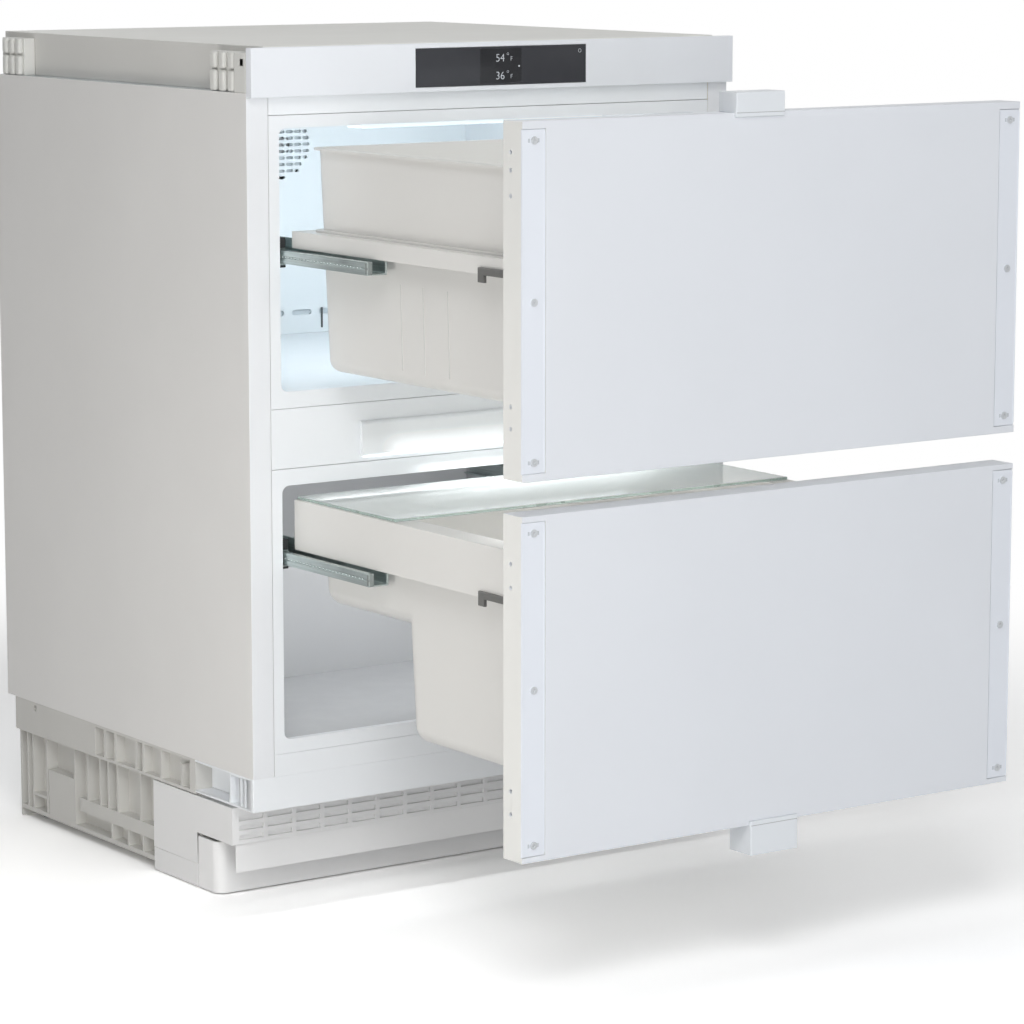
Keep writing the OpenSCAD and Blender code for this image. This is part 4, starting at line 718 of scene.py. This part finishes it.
def duct_slot_light_plates():
    """Pale plates close behind the air slots of the rear wall, painted light where the slots would show
    shade: a ring at the fan and a strip at the foot.
    """
    low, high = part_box("duct_cover")
    fan_low, fan_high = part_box("cold_fan_rotor")
    gap = 1.2 * MM
    thick = 0.8 * MM
    x, z = (fan_low.x + fan_high.x) / 2, (fan_low.z + fan_high.z) / 2
    inner_r = 12 * MM
    outer_r = (fan_high.x - fan_low.x) / 2 + 5 * MM
    bm = bmesh.new()
    add_ring_plate(bm, (x, high.y + gap, z), inner_r, outer_r, thick)
    piece("fan_light_plate", bm, FAN_SLOT_PAINTED_LIGHT, "cabinet")
    lift = 24 * MM
    half_h = 4 * MM
    side_gap = 30 * MM
    bm = bmesh.new()
    add_slab(bm, (low.x + side_gap, high.y + gap, low.z + lift - half_h),
             (high.x - side_gap, high.y + gap + thick, low.z + lift + half_h), 0.2 * MM)
    piece("return_light_plate", bm, RETURN_SLOT_PAINTED_LIGHT, "cabinet")


def grille_light_plate():
    """Pale plate behind the grille's louvres, painted light where the louvres would show shade, which reaches
    as low as the grille's side returns.
    """
    low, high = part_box("vent_grille")
    wall = 3 * MM
    gap = 0.1 * MM
    inset = 3 * MM
    thick = 0.8 * MM
    bm = bmesh.new()
    add_slab(bm, (low.x + inset + wall, low.y + wall + gap, low.z + inset),
             (high.x - inset - wall, low.y + wall + gap + thick, high.z - inset), 0.2 * MM)
    piece("grille_light_plate", bm, LOUVRE_PAINTED_LIGHT, "cabinet")


def add_ring_plate(bm, centre, inner, outer, thick, sides=48):
    """Adds a flat ring that faces the front."""
    loops = []
    for radius, y in ((outer, 0.0), (outer, thick), (inner, thick), (inner, 0.0)):
        loops.append([bm.verts.new((centre[0] + radius * math.cos(a), centre[1] + y,
                                    centre[2] + radius * math.sin(a)))
                      for a in (math.tau * i / sides for i in range(sides))])
    faces = []
    for a, b in zip(loops, loops[1:] + loops[:1]):
        for i in range(sides):
            j = (i + 1) % sides
            faces.append(bm.faces.new((a[i], a[j], b[j], b[i])))
    bmesh.ops.recalc_face_normals(bm, faces=faces)


def sensor():
    """Temperature sensor behind the upright slot in the rear wall, and a dark slab of painted shade for the
    drain opening at its foot.
    """
    low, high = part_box("duct_cover")
    drain_x, drain_z = 62.7 * MM, (low.z + 5 * MM, low.z + 28 * MM)
    drain_half = 1.2 * MM
    bm = bmesh.new()
    # The drain opening is a dark slab on the wall: painted shade.
    add_slab(bm, (drain_x - drain_half, low.y - 0.8 * MM, drain_z[0]),
             (drain_x + drain_half, low.y + 0.3 * MM, drain_z[1]), 0.3 * MM)
    piece("wall_drain_shade", bm, DRAIN_PAINTED_SHADE, "cabinet")
    x, y = 107 * MM, low.y + 3.5 * MM
    foot_z = low.z + 85.8 * MM
    sensor_h = 20 * MM
    bm = bmesh.new()
    add_bar(bm, (x, y, foot_z), (x, y, foot_z + sensor_h), 1.8 * MM, 16, 0.8 * MM)
    piece("cavity_sensor", bm, SENSOR_GREY_AND_SLOT_SHADE, "cabinet")


# ---- Drawers ----
def drawer(level):
    """Front board, fittings, bin, carrier and inner rails of one drawer."""
    body = f"{level}_drawer"
    board = dress(f"{level}_front", 1.0 * MM, 15 * MM, keep=lambda edge: not in_seat(edge, level))
    face_tone(board, BOARD_EDGE, X)
    dress(f"{level}_strips", 0.35 * MM, 10 * MM)
    dress(f"{level}_screws", 0.15 * MM, 1.2 * MM, segments=2)
    dress(f"{level}_gasket", 0.7 * MM, 20 * MM)
    dress(f"{level}_bracket", 1.0 * MM, 8 * MM)
    dress(f"{level}_bin", 0.6 * MM, 3 * MM, angle=32)
    dress(f"{level}_carrier", 0.45 * MM, 12 * MM)
    dress(f"{level}_inner_rails", 0.3 * MM, 12 * MM)
    dress(f"{level}_catches", 1.0 * MM, 5 * MM)
    strip_details(level, body)
    bracket_seam(level, body)
    if level == "upper":
        bin_grooves(body)


def bin_grooves(body):
    """Three fine upright lines on each side of the upper bin, darker than the bin: painted shade of its draft
    ribs.
    """
    foot_x, foot_z = 222.0 * MM, 562 * MM
    head_x, head_z = 224.4 * MM, 646 * MM
    lines_y = (-426 * MM, -465 * MM, -507 * MM)
    line_r = 0.55 * MM
    bm = bmesh.new()
    for side in SIDES:
        for y in lines_y:
            add_bar(bm, (side * foot_x, y, foot_z), (side * head_x, y, head_z), line_r, 8, 0.2 * MM)
    piece("upper_bin_lines", bm, BIN_RIB_PAINTED_SHADE, body)


def bracket_seam(level, body):
    """Faint line of painted shade across a fitting block, level with the edge of its front."""
    low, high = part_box(f"{level}_bracket")
    front_low, front_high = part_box(f"{level}_front")
    z = front_high.z if level == "upper" else front_low.z
    end_gap = 0.4 * MM
    proud = 0.04 * MM
    half_h = 0.35 * MM
    bm = bmesh.new()
    add_slab(bm, (low.x + end_gap, low.y - proud, z - half_h),
             (high.x - end_gap, low.y + 0.3 * MM, z + half_h))
    piece(f"{level}_bracket_seam", bm, SEAM_PAINTED_SHADE, body)


def in_seat(edge, level):
    """True for the edges of the shallow notch under a fitting's lip."""
    low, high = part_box(f"{level}_bracket")
    middle = (edge.verts[0].co + edge.verts[1].co) / 2
    margin = 1 * MM
    longest = 70 * MM
    inside = low.x - margin < middle.x < high.x + margin and edge.calc_length() < longest
    return inside and low.z - margin < middle.z < high.z + margin


def strip_details(level, body):
    """Lips along the strips' long edges and small hooks beside their outer screws."""
    low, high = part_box(f"{level}_strips")
    screws_low, screws_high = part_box(f"{level}_screws")
    width = 25.5 * MM
    lip_w = 1.4 * MM
    lip_t = 0.35 * MM
    end_gap = 2 * MM
    sunk = 0.2 * MM
    bm = bmesh.new()
    for side in SIDES:
        for x in (side * (high.x - width), side * (high.x - lip_w)):
            add_slab(bm, (x, low.y - lip_t, low.z + end_gap),
                     (x + side * lip_w, low.y + sunk, high.z - end_gap), 0.15 * MM)
    piece(f"{level}_strip_lips", bm, MATERIALS["strip_plastic"], body)
    hooks = bmesh.new()
    hook_t = 0.3 * MM
    half_w, half_h = 1.0 * MM, 1.8 * MM
    reach = 5.2 * MM
    screw_r = 3.6 * MM
    strip_mid = high.x - width / 2
    for side in SIDES:
        for z in (screws_low.z + screw_r, screws_high.z - screw_r):
            for x in (side * strip_mid - reach, side * strip_mid + reach):
                add_slab(hooks, (x - half_w, low.y - hook_t, z - half_h),
                         (x + half_w, low.y + sunk, z + half_h), 0.25 * MM)
    piece(f"{level}_strip_hooks", hooks, STRIP_MARK, body)


def rails():
    dress("fixed_rails", 0.3 * MM, 8 * MM)
    dress("rail_dampers", 0.6 * MM, 4 * MM)
    for level in ("upper", "lower"):
        for name, side in (("left", -1), ("right", 1)):
            node = f"mid_rail_{level}_{name}"
            dress(node, 0.3 * MM, 4 * MM)
            rail_nose(node, side)


def rail_nose(node, side):
    """Plastic nose at the front end of a middle rail, and the row of balls of its cage."""
    low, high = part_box(node)
    body = BODY_OF[node]
    outer = side * max(abs(low.x), abs(high.x))
    nose_w, nose_l, nose_h = 6 * MM, 5 * MM, 12.9 * MM
    nose = bmesh.new()
    add_slab(nose, (outer, low.y - 0.5 * MM, low.z), (outer - side * nose_w, low.y + nose_l, low.z + nose_h),
             1.2 * MM)
    piece(f"{node}_nose", nose, NOSE, body)
    balls = bmesh.new()
    count = 26
    pitch = 6 * MM
    first_y = low.y + 12 * MM
    ball_r = 0.95 * MM
    sunk = 0.6 * MM
    for i in range(count):
        ball = bmesh.ops.create_icosphere(balls, subdivisions=2, radius=ball_r)["verts"]
        place = (outer - side * sunk, first_y + i * pitch, low.z + nose_h / 2)
        bmesh.ops.translate(balls, vec=place, verts=ball)
    piece(f"{node}_balls", balls, BALLS, body)


def glass():
    """Loose glass cover with ground edges."""
    dress("glass_cover", 0.5 * MM)
    low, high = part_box("glass_cover")
    edge = 0.35 * MM
    inset = 0.6 * MM
    x, y = high.x - edge, (low.y + edge, high.y - edge)
    corners = ((-x, y[0]), (x, y[0]), (x, y[1]), (-x, y[1]))
    bm = bmesh.new()
    for start, end in ((0, 1), (3, 2), (0, 3), (1, 2)):
        a, b = corners[start], corners[end]
        add_slab(bm, (a[0] - edge, a[1] - edge, low.z + inset),
                 (b[0] + edge, b[1] + edge, high.z - inset), 0.1 * MM)
    piece("glass_edges", bm, GLASS_EDGE, "glass_cover")


# ---- Base and machine space ----
def base():
    dress("base_moulding", 0.5 * MM, 6 * MM)
    corner_skirts()
    dress("vent_grille", 0.5 * MM, 3 * MM, segments=2)
    dress("plinth", 0.8 * MM, 12 * MM, angle=30)
    for place in ("front_left", "front_right", "rear_left", "rear_right"):
        foot(place)


def corner_skirts():
    """Smooth plates on the base's sides between the grille's wrap, the plinth's return and the floor."""
    plinth_low, plinth_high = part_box("plinth")
    grille_low, grille_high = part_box("vent_grille")
    outer = grille_high.x - 0.2 * MM
    wall_x = 293 * MM
    gap = 0.4 * MM
    bm = bmesh.new()
    for side in SIDES:
        add_slab(bm, (side * wall_x, plinth_high.y + gap, plinth_low.z),
                 (side * outer, grille_high.y, grille_low.z - gap), 0.4 * MM)
    piece("corner_skirts", bm, MATERIALS["grille_white"], "cabinet")


def foot(place):
    """Levelling foot with a rolled thread."""
    node = f"foot_{place}"
    dress(node, 0.6 * MM, 1.0 * MM, segments=2)
    low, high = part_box(node)
    x, y = (low.x + high.x) / 2, (low.y + high.y) / 2
    turns = 30
    pitch = 1.9 * MM
    steps = 16
    radius = 4.75 * MM
    thread_r = 0.33 * MM
    start = low.z + 9 * MM
    points = [(x + radius * math.cos(math.tau * i / steps), y + radius * math.sin(math.tau * i / steps),
               start + pitch * i / steps) for i in range(turns * steps + 1)]
    bm = bmesh.new()
    add_tube(bm, points, thread_r, 5)
    piece(f"{node}_thread", bm, THREAD, node)


def machine_space():
    """Compressor, condenser, fans and inlet, and materials for the inner nodes that keep their own mesh."""
    dress("compressor", 0.8 * MM, 5 * MM, angle=50)
    dress("condenser", 0.5 * MM, 8 * MM, angle=50)
    dress("fan_motors", 0.5 * MM, 6 * MM, angle=50)
    dress("power_inlet", 0.4 * MM, 3 * MM, segments=2)
    for node in ("cold_fan_rotor", "warm_fan_rotor"):
        dress(node, 0.3 * MM, 5 * MM, segments=2, angle=50)
    compressor_seam()
    for node in ("insulation_foam", "control_board", "evaporator"):
        data = NODES[node].data
        data.materials.clear()
        data.materials.append(MATERIALS[SLOT_OF[node]])


def compressor_seam():
    """Weld seam round the compressor's shell."""
    low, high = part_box("compressor")
    x, y = -110 * MM, (low.y + high.y) / 2
    z = low.z + 96 * MM
    radius = 78.3 * MM
    weld_r = 1.6 * MM
    ripple, ripples = 0.4 * MM, 37
    steps = 180
    points = [(x + radius * math.cos(a), y + radius * math.sin(a), z + ripple * math.sin(ripples * a))
              for a in (math.tau * i / steps for i in range(steps + 1))]
    bm = bmesh.new()
    add_tube(bm, points, weld_r, 8)
    piece("compressor_weld", bm, MATERIALS["compressor_black"], "cabinet")


# ---- Floor, lights and camera ----
# Powers in watts, and the strength of the world.
LEVELS = {"world": 0.18, "key": 49, "front": 44, "near": 2.8, "near_front": 0.9, "low": 4.2, "top": 13,
          "right": 14, "back": 14, "upper_cavity": 1.4, "bin_light": 0.45, "lower_cavity": 0.8,
          "strip_light": 0.22, "lower_bin": 0.55}
NEUTRAL = (1.0, 1.0, 1.0)
DAYLIGHT = (0.97, 0.985, 1.0)
WARM = (1.0, 0.97, 0.92)
COOL = (0.93, 0.975, 1.0)
STRIP_COLOUR = (0.97, 0.99, 1.0)
# Each lamp of the studio: its place, the point it aims at, its width, its height and its colour.
STUDIO_LAMPS = {
    "key": ((-1.9, -2.8, 3.0), (0.0, -0.4, 0.4), 1.7, 1.7, NEUTRAL),
    "front": ((-0.3, -4.2, 1.25), (0.0, -0.6, 0.5), 3.4, 2.2, DAYLIGHT),
    "low": ((-1.6, -2.4, 0.35), (-0.3, -0.3, 0.3), 0.9, 0.5, NEUTRAL),
    "near": ((-1.25, -0.7, 0.36), (-0.3, -0.3, 0.3), 0.5, 0.5, WARM),
    "near_front": ((-1.2, -1.05, 0.4), (-0.1, -0.3, 0.3), 0.5, 0.5, NEUTRAL),
    "top": ((0.2, 0.4, 3.0), (0.0, 0.0, 0.8), 2.2, 2.2, NEUTRAL),
    "right": ((3.0, 0.5, 0.55), (0.2, 0.0, 0.45), 1.4, 0.7, NEUTRAL),
    "back": ((0.6, 3.4, 0.9), (0.0, 0.2, 0.45), 1.6, 1.2, NEUTRAL),
}
FLOOR_HALF = 30
FLOOR_FADE = (0.85, 1.75)
FLOOR_EXTRA = (0.68, 0.68, 0.68, 1)
CAMERA_PLACE = (-2.2736, -3.5455, 1.0156)
CAMERA_AZIMUTH = 34.95
CAMERA_PITCH = 9.01
CAMERA_LENS = 136.6


def studio_floor():
    """Pale floor, white to the camera where no shadow falls and far away, and clear from below."""
    bm = bmesh.new()
    bmesh.ops.create_grid(bm, x_segments=1, y_segments=1, size=FLOOR_HALF)
    mesh = bpy.data.meshes.new("studio_floor")
    bm.to_mesh(mesh)
    bm.free()
    floor = bpy.data.objects.new("studio_floor", mesh)
    bpy.context.scene.collection.objects.link(floor)
    shader = Shader("floor_paper", rough=0.9, Specular_IOR_Level=0.0)
    paper = shader.surface.outputs["BSDF"]
    tree = shader.tree

    def mixed(factor, first, second):
        node = shader.add("ShaderNodeMixShader")
        tree.links.new(factor, node.inputs["Fac"])
        tree.links.new(first, node.inputs[1])
        tree.links.new(second, node.inputs[2])
        return node.outputs["Shader"]

    shader.colour(shader.ramp(shader.noise(0.8), (0.84, 0.84, 0.84, 1), (0.87, 0.87, 0.87, 1)))
    white = shader.add("ShaderNodeEmission")
    extra = shader.add("ShaderNodeBsdfDiffuse")
    extra.inputs["Color"].default_value = FLOOR_EXTRA
    bright = shader.add("ShaderNodeAddShader")
    tree.links.new(paper, bright.inputs[0])
    tree.links.new(extra.outputs["BSDF"], bright.inputs[1])
    distance = shader.add("ShaderNodeVectorMath", operation="LENGTH")
    shader.link(shader.coords, distance, 0)
    fade = shader.map_range(distance.outputs["Value"], *FLOOR_FADE, 0.0, 1.0, interpolation_type="SMOOTHSTEP")
    seen = mixed(fade, bright.outputs["Shader"], white.outputs["Emission"])
    path = shader.add("ShaderNodeLightPath")
    rays = shader.add("ShaderNodeMath", operation="MAXIMUM")
    tree.links.new(path.outputs["Is Camera Ray"], rays.inputs[0])
    tree.links.new(path.outputs["Is Transmission Ray"], rays.inputs[1])
    from_above = mixed(rays.outputs["Value"], paper, seen)
    side = shader.add("ShaderNodeNewGeometry")
    clear = shader.add("ShaderNodeBsdfTransparent")
    one_sided = mixed(side.outputs["Backfacing"], from_above, clear.outputs["BSDF"])
    tree.links.new(one_sided, tree.nodes["Material Output"].inputs["Surface"])
    mesh.materials.append(shader.material)


def studio_world():
    """White where the camera, a gloss or a glass sees it, and a soft even light on everything else."""
    world = bpy.data.worlds.new("studio")
    bpy.context.scene.world = world
    world.use_nodes = True
    tree = world.node_tree
    tree.nodes.clear()
    output = tree.nodes.new("ShaderNodeOutputWorld")
    mix = tree.nodes.new("ShaderNodeMixShader")
    soft = tree.nodes.new("ShaderNodeBackground")
    soft.inputs["Color"].default_value = (0.985, 0.99, 1.0, 1.0)
    soft.inputs["Strength"].default_value = LEVELS["world"]
    white = tree.nodes.new("ShaderNodeBackground")
    white.inputs["Color"].default_value = WHITE
    white.inputs["Strength"].default_value = 1.0
    path = tree.nodes.new("ShaderNodeLightPath")
    first = tree.nodes.new("ShaderNodeMath")
    first.operation = "MAXIMUM"
    second = tree.nodes.new("ShaderNodeMath")
    second.operation = "MAXIMUM"
    tree.links.new(path.outputs["Is Camera Ray"], first.inputs[0])
    tree.links.new(path.outputs["Is Glossy Ray"], first.inputs[1])
    tree.links.new(first.outputs[0], second.inputs[0])
    tree.links.new(path.outputs["Is Transmission Ray"], second.inputs[1])
    tree.links.new(second.outputs[0], mix.inputs["Fac"])
    tree.links.new(soft.outputs["Background"], mix.inputs[1])
    tree.links.new(white.outputs["Background"], mix.inputs[2])
    tree.links.new(mix.outputs["Shader"], output.inputs["Surface"])


def area_light(name, place, target, width, height, colour=NEUTRAL, glossy=True):
    """A rectangular lamp that aims at a point, has its power in the table and isn't seen by the camera."""
    data = bpy.data.lights.new(name, "AREA")
    data.shape = "RECTANGLE"
    data.size = width
    data.size_y = height
    data.energy = LEVELS[name]
    data.color = colour
    light = bpy.data.objects.new(name, data)
    light.location = place
    light.rotation_euler = (Vector(target) - Vector(place)).to_track_quat("-Z", "Y").to_euler()
    bpy.context.scene.collection.objects.link(light)
    light.visible_camera = False
    light.visible_glossy = glossy


def studio_lights():
    """Large lamps round the object."""
    for name, settings in STUDIO_LAMPS.items():
        area_light(name, *settings)


def inner_lights():
    """Small lamps without gloss: in both cavities, over both bins and under the divider's housing."""
    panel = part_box("cavity_light")[0]
    liner_low, liner_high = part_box("lower_liner")
    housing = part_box("divider_light")[0]
    upper_low, upper_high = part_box("upper_bin")
    lower_low, lower_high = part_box("lower_bin")
    strip_x = 50 * MM
    lamps = (
        ("upper_cavity", (0.0, panel.y + 13 * MM, panel.z - 2 * MM),
         (0.0, panel.y + 300 * MM, panel.z - 130 * MM), 0.3, 0.026, COOL),
        ("bin_light", (0.0, upper_low.y + 90 * MM, upper_high.z + 4 * MM),
         (0.0, upper_low.y + 120 * MM, upper_low.z), 0.4, 0.04, COOL),
        ("lower_cavity", (0.0, liner_low.y + 12 * MM, liner_high.z - 8 * MM),
         (0.0, liner_low.y + 300 * MM, liner_high.z - 150 * MM), 0.4, 0.02, NEUTRAL),
        ("strip_light", (strip_x, housing.y - 1 * MM, housing.z - 1 * MM),
         (strip_x, housing.y - 150 * MM, housing.z - 90 * MM), 0.3, 0.01, STRIP_COLOUR),
        ("lower_bin", (0.0, lower_low.y + 90 * MM, lower_high.z + 28 * MM),
         (0.0, lower_low.y + 110 * MM, lower_low.z), 0.4, 0.05, NEUTRAL),
    )
    for name, place, target, width, depth, colour in lamps:
        area_light(name, place, target, width, depth, colour, glossy=False)


def camera():
    data = bpy.data.cameras.new("camera")
    data.lens = CAMERA_LENS
    data.sensor_width = 36
    data.clip_end = 100
    obj = bpy.data.objects.new("camera", data)
    obj.location = CAMERA_PLACE
    obj.rotation_euler = (math.radians(90 - CAMERA_PITCH), 0, math.radians(-CAMERA_AZIMUTH))
    bpy.context.scene.collection.objects.link(obj)
    bpy.context.scene.camera = obj


camera()
studio_world()
studio_lights()
inner_lights()
studio_floor()
cabinet_shell()
corner_blocks()
cabinet_face()
control_panel()
cavities()
for drawer_level in ("upper", "lower"):
    drawer(drawer_level)
rails()
glass()
base()
machine_space()

bpy.context.scene.view_settings.view_transform = "Standard"
bpy.context.view_layer.update()
